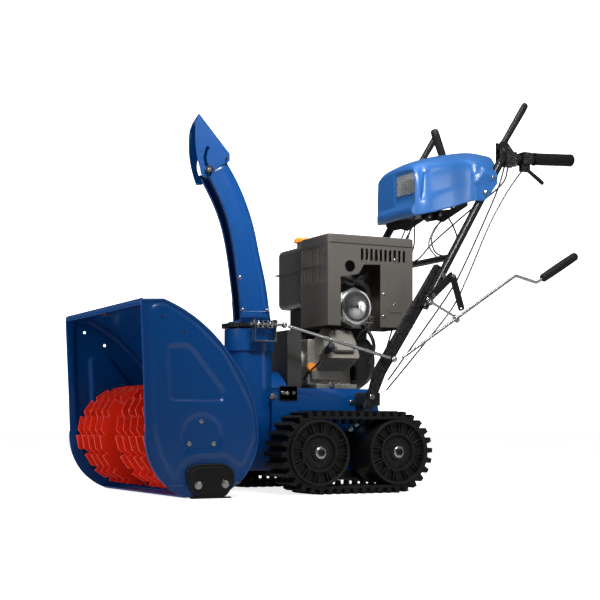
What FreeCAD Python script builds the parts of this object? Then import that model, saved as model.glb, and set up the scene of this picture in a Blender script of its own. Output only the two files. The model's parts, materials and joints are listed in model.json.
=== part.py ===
import FreeCAD, Part
import math
import os
import re
from types import SimpleNamespace

import Sketcher
from FreeCAD import Placement, Rotation, Vector

# Two stage snowblower on rubber tracks.
# Frame: +Z up, the ground is Z = 0, the auger housing faces -Y, +X is the operator's left side.
# Every piece is drawn with Y measured from the auger axis, and its node is then moved by auger_y,
# so that the middle of the whole machine stands on the origin.

SIZES = {
    "auger_y": -560,                # auger axis in the machine's frame
    # auger housing
    "house_half": 330,              # half of the clearing width, outer faces of the side plates
    "sheet": 3,
    "auger_z": 165,
    "lip_y": -170,                  # front edge of the housing
    "top_front_z": 523,
    "crown_y": -108,                # where the flat top starts to curve down
    "crown_z": 526,
    "back_mid_y": 97,
    "back_mid_z": 365,
    "crown_radius": 412,
    "back_radius": 300,
    "belly_radius": 166,            # the back wraps the auger below its axis
    "heel_y": 106,
    "heel_z": 37,
    "foot_y": 60,
    "toe_y": -50,
    "plate_z": 5,
    "chin_y": -158,
    "chin_z": 182,
    "chin_radius": 160,
    "floor_z": 8,
    "scraper_back_y": 30,
    # bolts in the side plates
    "cutter_hole": 4.5,             # radius of the drift cutter holes
    "cutter_front_y": -111,
    "cutter_front_z": 478,
    "cutter_back_y": -47,
    "cutter_back_z": 440,
    "skid_hole": 4.2,
    "skid_bolt": 4,
    "skid_bolt_y1": -14,
    "skid_bolt_z1": 36,
    "skid_bolt_y2": 63,
    "skid_bolt_z2": 38,
    "skid_front_y": -47,
    "skid_back_y": 96,
    "skid_top_z": 92,
    "skid_chamfer": 26,
    "skid_web": 6,
    "skid_foot": 14,
    "bearing_bolt": 3,
    "bearing_hole": 3.2,
    "bearing_pitch": 40,            # the three bearing bolts lie on this radius
    "bearing_radius": 50,
    "bearing_depth": 14,
    # auger
    "shaft_radius": 10,
    "running_gap": 0.05,
    "tube_radius": 17,
    "tube_inner": 10.1,
    "tube_start": 36,
    "tube_end": 309,
    "ribbon_inner": 96,
    "ribbon_outer": 150,
    "ribbon_pitch": 110,
    "ribbon_turns": 2.3,
    "ribbon_start": 42,
    "ribbon_sheet": 5,
    "ribbon_teeth": 16,
    "tooth_depth": 16,
    "arm_radius": 7,
    "shear_x": 62,
    "shear_bolt": 3,
    # gearbox
    "worm_offset": 44,              # the impeller shaft lies this far above the auger shaft
    "gearcase_radius": 47,
    "gearcase_half": 26,
    "gearcase_wall": 5,
    "wormcase_radius": 26,
    "wormcase_front": -48,
    "wormcase_back": 62,
    "gear_radius": 31,
    "gear_core": 28,
    "gear_half": 9,
    "gear_teeth": 20,
    "worm_radius": 12.7,
    "worm_half": 24,
    # impeller and its drum
    "drum_radius": 150,
    "drum_start": 60,
    "drum_end": 360,
    "fan_start": 198,
    "fan_end": 302,
    "fan_radius": 143,
    "fan_hub": 26,
    "blade_sheet": 5,
    "blade_count": 4,
    # chute
    "chute_x": 82,                  # the outlet leaves the drum along its left side
    "chute_y": 252.4,
    "chute_aim": -14,               # degrees the parked chute points to the operator's right
    "foot_chamfer": 15,
    "neck_radius": 66,
    "neck_top": 434.4,
    "collar_radius": 72,
    "collar_bottom": 407,
    "collar_top": 471.5,
    "gear_z": 475.4,
    "chute_gear_height": 12,
    "chute_gear_radius": 80,
    "chute_gear_teeth": 48,
    "spigot_radius": 61.5,
    "chute_half": 63.5,
    "chute_front_y": 219.8,
    "chute_back_y": 308.4,
    "chute_foot_z": 496,
    "chute_front_radius": 727,
    "chute_back_radius": 1150,
    "chute_nose_y": 121.6,
    "chute_nose_z": 899.8,
    "chute_tip_y": 110.3,
    "chute_tip_z": 931.7,
    "hinge_y": 178.6,
    "hinge_z": 952.6,
    "hinge_pin": 4,
    "chute_sheet": 2,
    "chute_flange": 22,
    "hood_peak_y": 95.7,
    "hood_peak_z": 1078.1,
    "hood_low_y": 107,
    "hood_low_z": 897.5,
    "hood_bulge": 320,
    "hood_gap": 1,
    "knob_y": 124.7,
    "knob_z": 917.9,
    "knob_radius": 11,
    "slot_outer": 65.0,
    "slot_inner": 56.6,
    # chute crank
    "worm_x": 177,
    "worm_z": 481.3,
    "coil_radius": 13,
    "rod_radius": 5,
    "worm_front": 222,
    "worm_back": 290,
    "strap_drop": 46,
    "joint_x": 177,
    "joint_y": 312,
    "knee_x": 263,
    "knee_y": 648,
    "knee_z": 383,
    "crank_x": 287,
    "crank_bend_y": 1047,
    "crank_bend_z": 649,
    "crank_grip_y": 1148,
    "crank_grip_z": 645,
    "crank_end_y": 1276,
    "crank_end_z": 722,
    # tracks
    "track_inner_x": 190,
    "track_outer_x": 305,
    "wheel_front_y": 367,
    "wheel_back_y": 620,
    "wheel_z": 118,
    "wheel_radius": 93,
    "belt_inner": 94,
    "belt_outer": 102,
    "lug_outer": 118,
    "lug_count": 42,
    "guide_inner": 80,
    "guide_half": 11,
    "groove_half": 16,
    "groove_radius": 76,
    "web_radius": 52,
    "hub_radius": 24,
    "axle_radius": 10,
    "collar_hub": 15.5,
    # tractor frame
    "frame_half": 165,
    "frame_front": 285,
    "frame_back": 690,
    "frame_top": 302,
    "frame_low": 63,
    "frame_step": 625,
    "pan_z": 40,
    "disc_radius": 88,
    "disc_y": 486,
    "disc_sheet": 6,
    "friction_x": 68,
    "hex_y": 553.5,
    "hex_z": 205,
    "friction_radius": 60,
    "friction_width": 12,
    "steer_half": 44,
    "steer_front": 528,
    "steer_back": 664,
    "steer_low": 72,
    "steer_top": 232,
    # engine
    "crank_z": 392,
    "engine_front": 446,
    "engine_back": 600,
    "engine_half": 96,
    "recoil_radius": 88,
    "recoil_back": 690,
    "cover_x0": -6,
    "cover_x1": 170,
    "cover_y0": 465,
    "cover_y1": 755,
    "cover_z0": 487,
    "cover_z1": 754,
    "cover_wall": 3,
    "cut_front_y": 508,
    "cut_back_y": 642,
    "slot_count": 10,
    "slot_width": 8,
    "side_slot_y": 576,
    "side_slot_pitch": 16,
    "side_slot_z": 683,
    "side_slot_height": 34,
    "front_slot_x": 4,
    "front_slot_pitch": 15.4,
    "front_slot_z": 618,
    "front_slot_height": 48,
    "front_row_gap": 6,
    "port_y": 539,
    "port_z": 663,
    "port_radius": 22,
    "muffler_y": 565,
    "muffler_z": 544,
    "muffler_radius": 52,
    "muffler_depth": 62,
    "tank_x0": -186,
    "tank_x1": -12,
    "tank_y0": 472,
    "tank_y1": 650,
    "tank_z0": 556,
    "tank_z1": 742,
    "neck_rise": 16,
    "cap_x": -75,
    "cap_y": 505,
    "cap_radius": 24,
    "guard_half": 104,
    "guard_front": 366,
    "guard_back": 412,
    "guard_top": 474,
    "pulley_y": 376,
    "pulley_width": 13,
    "pulley_gap": 16,               # from the impeller's belt to the drive's belt
    "groove_depth": 7,
    "belt_width": 8,
    "belt_gap": 0.4,
    "belt_height": 6,
    "engine_pulley": 34,
    "drum_pulley": 80,
    "disc_pulley": 48,
    "crankshaft": 11,
    # handles
    "low_tube_x": 230,
    "low_tube_half": 10,
    "low_foot_y": 562,
    "low_foot_z": 250,
    "low_bend_y": 604,
    "low_bend_z": 352,
    "low_top_y": 812,
    "low_top_z": 668,
    "high_tube_x": 254,
    "high_tube": 12.5,
    "high_foot_y": 742,
    "high_foot_z": 542,
    "high_bend_y": 1022,
    "high_bend_z": 1008,
    "grip_start_y": 1137,
    "grip_end_y": 1288.6,
    "grip_end_z": 1026,
    "grip_radius": 19,
    # controls
    "lever_y": 1020,
    "lever_z": 1044,
    "lever_length": 166,
    "lever_lean": 33,               # degrees back from upright when released
    "lever_half": 7,
    "lever_eye": 11,
    "lever_pin": 4,
    "ear_gap": 9,
    "ear_sheet": 3,
    "trigger_y": 1112,
    "trigger_z": 984,
    "trigger_length": 76,
    "trigger_lean": 122,
    "shift_y": 990,
    "shift_z": 1010,
    "shift_length": 128,
    "shift_lean": 22,
    "shift_knob": 13,
    "console_front": 797,
    "console_back": 992,
    "console_wall": 3,
    "lamp_x0": 3,
    "lamp_x1": 108,
    "lamp_z0": 910,
    "lamp_z1": 973,
}

doc = FreeCAD.newDocument("snowblower")
sheet = doc.addObject("Spreadsheet::Sheet", "dims")
for row, (alias, value) in enumerate(SIZES.items(), 1):
    sheet.set(f"A{row}", alias)
    sheet.set(f"B{row}", str(value))
    sheet.setAlias(f"B{row}", alias)
doc.recompute()
d = SimpleNamespace(**{alias: float(sheet.get(alias)) for alias in SIZES})
groups = {}
pieces = {}

TURNS = {
    "x": Rotation(Vector(0, 1, 0), 90),
    "y": Rotation(Vector(1, 0, 0), -90),
    "z": Rotation(),
}
PLANES = {"x": "YZ_Plane", "y": "XZ_Plane", "z": "XY_Plane"}


def linked(text):
    """Spell an expression so that each size is read from the sheet."""
    return re.sub(r"[a-z]\w*", lambda word: "dims." + word.group() if word.group() in SIZES
                  else word.group(), str(text))


def number(text):
    return float(sheet.evalExpression(linked(text)))


def bind(thing, prop, text):
    thing.setExpression(prop, linked(text))


def place(thing, at, turn=Rotation()):
    thing.Placement = Placement(Vector(*[number(a) for a in at]), turn)
    for letter, text in zip("xyz", at):
        bind(thing, f"Placement.Base.{letter}", text)


def block(name, xs, ys, zs):
    """A box between two places on each axis."""
    box = doc.addObject("Part::Box", name)
    for prop, (low, high) in zip(("Length", "Width", "Height"), (xs, ys, zs)):
        bind(box, prop, f"({high}) - ({low})")
    place(box, (xs[0], ys[0], zs[0]))
    return box


def rod(name, axis, at, radius, length):
    """A cylinder that starts at a point and runs along an axis."""
    bar = doc.addObject("Part::Cylinder", name)
    bind(bar, "Radius", radius)
    bind(bar, "Height", length)
    place(bar, at, TURNS[axis])
    return bar


def cone(name, axis, at, radius_1, radius_2, length):
    bar = doc.addObject("Part::Cone", name)
    bind(bar, "Radius1", radius_1)
    bind(bar, "Radius2", radius_2)
    bind(bar, "Height", length)
    place(bar, at, TURNS[axis])
    return bar


def hexagon(name, axis, at, radius, length):
    bar = doc.addObject("Part::Prism", name)
    bar.Polygon = 6
    bind(bar, "Circumradius", radius)
    bind(bar, "Height", length)
    place(bar, at, TURNS[axis])
    return bar


def fuse(name, *things):
    joined = doc.addObject("Part::MultiFuse", name)
    joined.Shapes = list(things)
    return joined


def carve(name, base, *tools):
    cut = doc.addObject("Part::Cut", name)
    cut.Base = base
    cut.Tool = tools[0] if len(tools) == 1 else fuse(name + "_tools", *tools)
    return cut


def shared(name, *things):
    common = doc.addObject("Part::MultiCommon", name)
    common.Shapes = list(things)
    return common


def ring(name, axis, at, outer, inner, length):
    return carve(name, rod(name + "_outer", axis, at, outer, length),
                 rod(name + "_bore", axis, at, inner, length))


def mirrored(thing):
    """The same piece on the other side of the machine."""
    twin = doc.addObject("Part::Mirroring", thing.Name + "_twin")
    twin.Source = thing
    twin.Normal = Vector(1, 0, 0)
    return twin


def pair(*things):
    return list(things) + [mirrored(thing) for thing in things]


def add(label, *things):
    """Put solids into the node of that name."""
    groups.setdefault(label, []).extend(things)


def both_sides(stem, *things):
    """A node on the left and its mirror image on the right."""
    add(stem + "_left", *things)
    add(stem + "_right", *[mirrored(thing) for thing in things])


CHUTE_NODES = ("chute_collar", "chute_gear", "chute", "chute_hood", "hood_knobs")


def make_nodes():
    """Each node is a named group of its solids, moved from the auger axis to the frame."""
    for label, things in groups.items():
        group = doc.addObject("Part::Compound", label)
        group.Label = label
        group.Links = things
        if label in CHUTE_NODES:
            at = ("chute_x + chute_y * sin(chute_aim)", "auger_y + chute_y * (1 - cos(chute_aim))", "0")
            place(group, at, Rotation(Vector(0, 0, 1), d.chute_aim))
        else:
            place(group, ("0", "auger_y", "0"))
        pieces[label] = group


def computed(name, shape, placement=Placement()):
    feature = doc.addObject("Part::Feature", name)
    feature.Shape = shape
    feature.Placement = placement
    return feature


def arc_centre(start, end, radius, turn):
    """Centre of the short arc between two points, left of the way for a turn of +1."""
    way = end - start
    side = Vector(-way.y, way.x, 0) * (turn / way.Length)
    depth = math.sqrt(radius ** 2 - (way.Length / 2) ** 2)
    return (start + end) * 0.5 + side * depth


def draw_edge(sketch, start, end, corner):
    """Add the edge from one corner to the next, and say which of its ends is the first."""
    if len(corner) == 2:
        return sketch.addGeometry(Part.LineSegment(start, end)), 1
    radius, turn = number(corner[2]), corner[3]
    centre = arc_centre(start, end, radius, turn)
    ends = (start, end) if turn > 0 else (end, start)
    angles = [math.atan2(p.y - centre.y, p.x - centre.x) for p in ends]
    if angles[1] < angles[0]:
        angles[1] += 2 * math.pi
    arc = Part.ArcOfCircle(Part.Circle(centre, Vector(0, 0, 1), radius), *angles)
    edge = sketch.addGeometry(arc)
    rule = sketch.addConstraint(Sketcher.Constraint("Radius", edge, radius))
    bind(sketch, f"Constraints[{rule}]", corner[2])
    return edge, 1 if turn > 0 else 2


def pin_point(sketch, edge, end, across, along):
    for kind, text in (("DistanceX", across), ("DistanceY", along)):
        rule = sketch.addConstraint(Sketcher.Constraint(kind, -1, 1, edge, end, number(text)))
        bind(sketch, f"Constraints[{rule}]", text)


def draw_outline(sketch, corners, closed=True):
    """Corners are (across, along), or (across, along, radius, turn) where an arc starts."""
    points = [Vector(number(c[0]), number(c[1]), 0) for c in corners]
    count = len(points) if closed else len(points) - 1
    edges = []
    for i in range(count):
        edges.append(draw_edge(sketch, points[i], points[(i + 1) % len(points)], corners[i]))
    for i in range(count if closed else count - 1):
        edge, first = edges[i]
        following, start = edges[(i + 1) % count]
        sketch.addConstraint(Sketcher.Constraint("Coincident", edge, 3 - first, following, start))
    for corner, (edge, first) in zip(corners, edges):
        pin_point(sketch, edge, first, corner[0], corner[1])
    if not closed:
        edge, first = edges[-1]
        pin_point(sketch, edge, 3 - first, corners[-1][0], corners[-1][1])


def draw_hole(sketch, across, along, radius):
    middle = Vector(number(across), number(along), 0)
    edge = sketch.addGeometry(Part.Circle(middle, Vector(0, 0, 1), number(radius)))
    pin_point(sketch, edge, 3, across, along)
    rule = sketch.addConstraint(Sketcher.Constraint("Radius", edge, number(radius)))
    bind(sketch, f"Constraints[{rule}]", radius)


def new_sketch(body, name, role):
    sketch = body.newObject("Sketcher::SketchObject", name)
    plane = [p for p in body.Origin.OriginFeatures if p.Role == role][0]
    sketch.AttachmentSupport = [(plane, "")]
    sketch.MapMode = "FlatFace"
    return sketch


def slab(name, axis, corners, start, thickness, holes=()):
    """A flat plate: its outline lies across an axis and its thickness runs along it."""
    body = doc.addObject("PartDesign::Body", name)
    sketch = new_sketch(body, name + "_outline", PLANES[axis])
    draw_outline(sketch, corners)
    for hole in holes:
        draw_hole(sketch, *hole)
    pad = body.newObject("PartDesign::Pad", name + "_pad")
    pad.Profile = sketch
    bind(pad, "Length", thickness)
    pad.Reversed = axis == "y"
    sketch.Visibility = False
    bind(body, f"Placement.Base.{axis}", start)
    return body


def strip(name, line, thickness, start, width):
    """A bent sheet: an open line in the YZ plane, thickened inward and drawn out along X."""
    sketch = doc.addObject("Sketcher::SketchObject", name + "_line")
    sketch.Placement = Placement(Vector(), Rotation(Vector(1, 1, 1), 120))
    draw_outline(sketch, line, closed=False)
    doc.recompute()
    band = doc.addObject("Part::Offset2D", name + "_band")
    band.Source = sketch
    band.Mode = "Skin"
    band.Join = "Intersection"
    band.Fill = True
    bind(band, "Value", thickness)
    out = doc.addObject("Part::Extrusion", name)
    out.Base = band
    out.DirMode = "Custom"
    out.Dir = Vector(1, 0, 0)
    out.Solid = True
    bind(out, "LengthFwd", width)
    bind(out, "Placement.Base.x", start)
    return out


def turned(name, axis, at, profile):
    """A turned piece: corners of (radius, distance along the axis)."""
    body = doc.addObject("PartDesign::Body", name)
    sketch = new_sketch(body, name + "_profile", "XZ_Plane")
    draw_outline(sketch, profile)
    spin = body.newObject("PartDesign::Revolution", name + "_turn")
    spin.Profile = sketch
    spin.ReferenceAxis = (sketch, ["V_Axis"])
    place(body, at, TURNS[axis])
    return body


def bolt(name, axis, at, radius, length, head, flip=False):
    """A hexagon head on a shank; flip turns the shank towards the start of the axis."""
    x, y, z = at
    letter = "xyz".index(axis)
    start = list(at)
    if flip:
        start[letter] = f"({at[letter]}) - ({length})"
    shank = rod(name + "_shank", axis, start, radius, length)
    crown = list(at)
    if not flip:
        crown[letter] = f"({at[letter]}) - ({head})"
    return fuse(name, shank, hexagon(name + "_head", axis, crown, f"({radius}) * 1.8", head))


def bent_bar(points, radius, bend):
    """A round bar through corner points with every corner bent."""
    points = [Vector(*p) for p in points]
    edges, last = [], points[0]
    for before, corner, after in zip(points, points[1:], points[2:]):
        back, ahead = (before - corner).normalize(), (after - corner).normalize()
        half = (math.pi - back.getAngle(ahead)) / 2
        reach = bend * math.tan(half)
        first, second = corner + back * reach, corner + ahead * reach
        middle = (back + ahead).normalize()
        top = corner + middle * (bend / math.cos(half) - bend)
        edges.append(Part.LineSegment(last, first).toShape())
        edges.append(Part.Arc(first, top, second).toShape())
        last = second
    edges.append(Part.LineSegment(last, points[-1]).toShape())
    circle = Part.Wire(Part.makeCircle(radius, points[0], points[1] - points[0]))
    return Part.Wire(edges).makePipeShell([circle], True, True)


# ---------------------------------------------------------------- auger housing

HOUSE_BACK = [
    ("lip_y", "top_front_z"),
    ("crown_y", "crown_z", "crown_radius", -1),
    ("back_mid_y", "back_mid_z", "back_radius", -1),
    ("belly_radius", "auger_z", "belly_radius", -1),
    ("heel_y", "heel_z"),
]


def auger_housing():
    side_outline = HOUSE_BACK + [
        ("foot_y", "plate_z"),
        ("toe_y", "plate_z", "chin_radius + 8", -1),
        ("chin_y", "chin_z"),
    ]
    bearing_bolts = [
        ("0", "auger_z + bearing_pitch", "bearing_hole"),
        ("-bearing_pitch * cos(30)", "auger_z - bearing_pitch / 2", "bearing_hole"),
        ("bearing_pitch * cos(30)", "auger_z - bearing_pitch / 2", "bearing_hole"),
    ]
    holes = bearing_bolts + [
        ("0", "auger_z", "shaft_radius + 2"),
        ("cutter_front_y", "cutter_front_z", "cutter_hole"),
        ("cutter_back_y", "cutter_back_z", "cutter_hole"),
        ("skid_bolt_y1", "skid_bolt_z1", "skid_hole"),
        ("skid_bolt_y2", "skid_bolt_z2", "skid_hole"),
    ]
    add("side_plates", *pair(slab("side_sheet", "x", side_outline, "house_half - sheet", "sheet", holes)))
    shell_line = HOUSE_BACK + [("foot_y", "floor_z"), ("0", "floor_z")]
    shell = strip("shell_sheet", shell_line, "sheet", "sheet - house_half", "(house_half - sheet) * 2")
    opening = rod("shell_opening", "y", ("0", "0", "auger_z + worm_offset"), "drum_radius - sheet", "drum_end")
    add("housing_shell", carve("shell_open", shell, opening))
    add("scraper_bar", block("scraper", ("sheet + 1 - house_half", "house_half - sheet - 1"),
                              ("toe_y", "scraper_back_y"), ("plate_z - 2", "floor_z")))
    bearing = turned("auger_bearing", "x", ("house_half - sheet - bearing_depth", "0", "auger_z"), [
        ("shaft_radius + running_gap", "0"),
        ("tube_radius + 5", "0"),
        ("tube_radius + 5", "bearing_depth - 5"),
        ("bearing_radius", "bearing_depth - 5"),
        ("bearing_radius", "bearing_depth"),
        ("shaft_radius + running_gap", "bearing_depth"),
    ])
    drilled = [rod(f"bearing_drill_{i}", "x", ("house_half - 30", y, z), r, "40")
               for i, (y, z, r) in enumerate(bearing_bolts)]
    add("shaft_bearings", *pair(carve("auger_bearing_drilled", bearing, *drilled)))
    fixings = []
    for i, (y, z, _) in enumerate(bearing_bolts):
        fixings.append(bolt(f"bearing_bolt_{i}", "x", ("house_half", y, z), "bearing_bolt", "16", "4", True))
    add("hex_bolts", *pair(*fixings))


def skid_shoes():
    web = slab("skid_web_plate", "x", [
        ("skid_front_y", "0"),
        ("skid_back_y - skid_chamfer / 2", "0"),
        ("skid_back_y", "skid_chamfer / 2"),
        ("skid_back_y", "skid_top_z - skid_chamfer"),
        ("skid_back_y - skid_chamfer", "skid_top_z"),
        ("skid_front_y + skid_chamfer", "skid_top_z"),
        ("skid_front_y", "skid_top_z - skid_chamfer"),
    ], "house_half", "skid_web", [
        ("skid_bolt_y1", "skid_bolt_z1", "skid_hole"),
        ("skid_bolt_y2", "skid_bolt_z2", "skid_hole"),
    ])
    foot = block("skid_foot_plate", ("house_half", "house_half + skid_foot"),
                 ("skid_front_y", "skid_back_y - skid_chamfer / 2"), ("0", "4"))
    add("skid_shoes", *pair(fuse("skid", web, foot)))
    fixings = []
    for i in (1, 2):
        at = ("house_half + skid_web", f"skid_bolt_y{i}", f"skid_bolt_z{i}")
        fixings.append(bolt(f"skid_fix_{i}", "x", at, "skid_bolt", "skid_web + sheet + 8", "5", True))
    add("hex_bolts", *pair(*fixings))


# ---------------------------------------------------------------- auger and gearbox

def auger_flight(name, turn):
    """One toothed ribbon that winds round the shaft, started at some angle."""
    height = d.ribbon_pitch * d.ribbon_turns
    helix = Part.makeHelix(d.ribbon_pitch, height, (d.ribbon_inner + d.ribbon_outer) / 2)
    half = d.ribbon_sheet / 2
    section = Part.makePolygon([
        Vector(d.ribbon_inner, 0, -half), Vector(d.ribbon_outer, 0, -half),
        Vector(d.ribbon_outer, 0, half), Vector(d.ribbon_inner, 0, half), Vector(d.ribbon_inner, 0, -half)])
    ribbon = Part.Wire(helix).makePipeShell([section], True, True)
    count = int(d.ribbon_teeth)
    step = 2 * math.pi / count
    rim = []
    for i in range(count):
        for radius, share in ((d.ribbon_outer, 0.0), (d.ribbon_outer - 3, 0.7), (d.ribbon_outer - d.tooth_depth, 0.97)):
            angle = (i + share) * step
            rim.append(Vector(radius * math.cos(angle), radius * math.sin(angle), -50))
    toothed = Part.Face(Part.makePolygon(rim + rim[:1])).extrude(Vector(0, 0, height + 100))
    ribbon = ribbon.common(toothed)
    return computed(name, ribbon.Solids[0],
                    Placement(Vector(d.ribbon_start, 0, d.auger_z), Rotation(Vector(1, 0, 0), turn) * TURNS["x"]))


def augers():
    ribbons = [auger_flight("auger_ribbon_a", 0), auger_flight("auger_ribbon_b", 180)]
    tube = ring("auger_tube", "x", ("tube_start", "0", "auger_z"), "tube_radius", "tube_inner",
                "tube_end - tube_start")
    arms = []
    for i in range(6):
        share = (i + 0.5) / 6
        angle = 2 * math.pi * d.ribbon_turns * share + math.pi * (i % 2)
        arm = doc.addObject("Part::Cylinder", f"auger_arm_{i}")
        bind(arm, "Radius", "arm_radius")
        bind(arm, "Height", "(ribbon_inner + ribbon_outer) / 2 - tube_inner - 2")
        turn = Rotation(Vector(1, 0, 0), math.degrees(angle))
        # the ribbon starts on the side that faces down, and the arm follows it round the shaft
        outward = turn.multVec(TURNS["x"].multVec(Vector(1, 0, 0)))
        along = d.ribbon_start + d.ribbon_pitch * d.ribbon_turns * share
        start = Vector(along, 0, d.auger_z) + outward * (d.tube_inner + 2)
        arm.Placement = Placement(start, Rotation(Vector(0, 0, 1), outward))
        arms.append(arm)
    hole = rod("shear_hole", "z", ("shear_x", "0", "auger_z - 40"), "shear_bolt + running_gap", "80")
    add("auger_flights", *pair(carve("auger_drilled", fuse("auger_welded", *ribbons, tube, *arms), hole)))
    holes = [rod(f"shaft_drill_{i}", "z", (f"{side} * shear_x", "0", "auger_z - 40"),
                 "shear_bolt + running_gap", "80") for i, side in enumerate((-1, 1))]
    shaft = rod("auger_bar", "x", ("sheet - house_half + 2", "0", "auger_z"), "shaft_radius",
                "(house_half - sheet - 2) * 2")
    add("auger_shaft", carve("auger_bar_drilled", shaft, *holes))
    pins = []
    for i, side in enumerate((-1, 1)):
        pins.append(bolt(f"shear_{i}", "z", (f"{side} * shear_x", "0", "auger_z + tube_radius + 1"),
                         "shear_bolt", "tube_radius * 2 + 8", "4", True))
    add("auger_shaft", *pins)


def gearbox():
    axis_z = "auger_z + worm_offset"
    case = fuse(
        "gearcase_body",
        rod("gearcase_round", "x", ("-gearcase_half", "0", "auger_z"), "gearcase_radius", "gearcase_half * 2"),
        rod("wormcase_round", "y", ("0", "wormcase_front", axis_z), "wormcase_radius",
            "wormcase_back - wormcase_front"))
    hollow = fuse(
        "gearcase_hollow",
        rod("gearcase_room", "x", ("gearcase_wall - gearcase_half", "0", "auger_z"),
            "gearcase_radius - gearcase_wall", "(gearcase_half - gearcase_wall) * 2"),
        rod("wormcase_room", "y", ("0", "wormcase_front + gearcase_wall", axis_z),
            "wormcase_radius - gearcase_wall", "wormcase_back - wormcase_front - gearcase_wall * 2"),
        rod("auger_bore", "x", ("-gearcase_half - 1", "0", "auger_z"), "shaft_radius + running_gap",
            "gearcase_half * 2 + 2"),
        rod("worm_bore", "y", ("0", "wormcase_back - 20", axis_z), "shaft_radius + running_gap", "40"))
    shell = carve("gearcase", case, hollow)
    left_room = block("gearcase_left_side", ("0", "80"), ("-80", "80"), ("auger_z - 80", "auger_z + 100"))
    add("gearcase_halves", *pair(shared("gearcase_left_half", shell, left_room)))
    wheel = ring("gear_blank", "x", ("-gear_half", "0", "auger_z"), "gear_radius", "shaft_radius", "gear_half * 2")
    gaps = []
    for i in range(int(d.gear_teeth)):
        angle = 360 * i / d.gear_teeth
        gap = doc.addObject("Part::Box", f"gear_gap_{i}")
        gap.Width = 4
        gap.Height = 6
        bind(gap, "Length", "gear_half * 2 + 2")
        turn = Rotation(Vector(1, 0, 0), angle)
        start = Vector(-d.gear_half - 1, -2, d.gear_core)
        gap.Placement = Placement(Vector(0, 0, d.auger_z) + turn.multVec(start), turn)
        gaps.append(gap)
    add("worm_wheel", carve("gear_cut", wheel, *gaps))
    worm_line = ("0", "-worm_half", axis_z)
    shaft = fuse(
        "impeller_bar",
        rod("impeller_rod", "y", ("0", "wormcase_front + gearcase_wall + 2", axis_z), "shaft_radius",
            "pulley_y + pulley_width - 1 - wormcase_front - gearcase_wall"),
        rod("worm_body", "y", worm_line, "worm_radius", "worm_half * 2"))
    add("impeller_shaft", shaft)
    seals = ring("input_seal_ring", "y", ("0", "wormcase_back", axis_z), "20", "shaft_radius + running_gap", "5")
    add("shaft_bearings", seals)


# ---------------------------------------------------------------- impeller

def impeller_drum():
    axis_z = "auger_z + worm_offset"
    outside = fuse(
        "drum_outside",
        rod("drum_round", "y", ("0", "drum_start", axis_z), "drum_radius", "drum_end - drum_start"),
        rod("neck_round", "z", ("chute_x", "chute_y", axis_z), "neck_radius", f"neck_top - ({axis_z})"))
    inside = fuse(
        "drum_inside",
        rod("drum_room", "y", ("0", "drum_start - 1", axis_z), "drum_radius - sheet",
            "drum_end - drum_start - sheet + 1"),
        rod("neck_room", "z", ("chute_x", "chute_y", axis_z), "neck_radius - sheet", f"neck_top - ({axis_z}) + 1"),
        rod("drum_bore", "y", ("0", "drum_end - 10", axis_z), "shaft_radius + 5", "20"))
    house = slab("house_solid", "x", HOUSE_BACK + [("0", "heel_z"), ("0", "top_front_z")],
                 "-house_half", "house_half * 2")
    add("impeller_housing", carve("drum", outside, inside, house))
    bearing = turned("impeller_bearing_body", "y", ("0", "drum_end", axis_z), [
        ("shaft_radius + running_gap", "-10"),
        ("shaft_radius + 4.9", "-10"),
        ("shaft_radius + 4.9", "0"),
        ("34", "0"),
        ("34", "5"),
        ("shaft_radius + running_gap", "5"),
    ])
    add("shaft_bearings", bearing)
    hub = ring("fan_hub_tube", "y", ("0", "fan_start", axis_z), "fan_hub", "shaft_radius", "fan_end - fan_start")
    blades = []
    for i in range(int(d.blade_count)):
        turn = Rotation(Vector(0, 1, 0), 360 / d.blade_count * i)
        for name, size, start in (
                ("blade", ("fan_radius - fan_hub + 2", "fan_end - fan_start", "blade_sheet"), d.fan_hub - 2),
                ("tip", ("blade_sheet", "fan_end - fan_start", "18"), d.fan_radius - d.blade_sheet - 4)):
            plate = doc.addObject("Part::Box", f"fan_{name}_{i}")
            for prop, text in zip(("Length", "Width", "Height"), size):
                bind(plate, prop, text)
            at = turn.multVec(Vector(start, 0, -d.blade_sheet / 2))
            plate.Placement = Placement(at + Vector(0, d.fan_start, d.auger_z + d.worm_offset), turn)
            blades.append(plate)
    add("impeller", fuse("fan", hub, *blades))


# ---------------------------------------------------------------- chute

def chute_base():
    add("chute_collar", ring("collar", "z", ("0", "chute_y", "collar_bottom"), "collar_radius", "neck_radius",
                              "collar_top - collar_bottom"))
    blank = ring("chute_gear_blank", "z", ("0", "chute_y", "gear_z"), "chute_gear_radius", "spigot_radius - 2",
                 "chute_gear_height")
    gaps = []
    for i in range(int(d.chute_gear_teeth)):
        angle = 360 * i / d.chute_gear_teeth
        turn = Rotation(Vector(0, 0, 1), angle)
        gap = doc.addObject("Part::Box", f"chute_gap_{i}")
        gap.Length = 8
        gap.Width = 4.5
        bind(gap, "Height", "chute_gear_height + 2")
        start = turn.multVec(Vector(d.chute_gear_radius - 5, -2.25, -1))
        gap.Placement = Placement(start + Vector(0, d.chute_y, d.gear_z), turn)
        gaps.append(gap)
    toothed = carve("chute_gear_cut", blank, *gaps)
    spigot = ring("chute_spigot", "z", ("0", "chute_y", "neck_top - 20"), "spigot_radius", "spigot_radius - 2",
                  "gear_z - neck_top + 20")
    add("chute_gear", fuse("chute_gear_ring", toothed, spigot))


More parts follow.
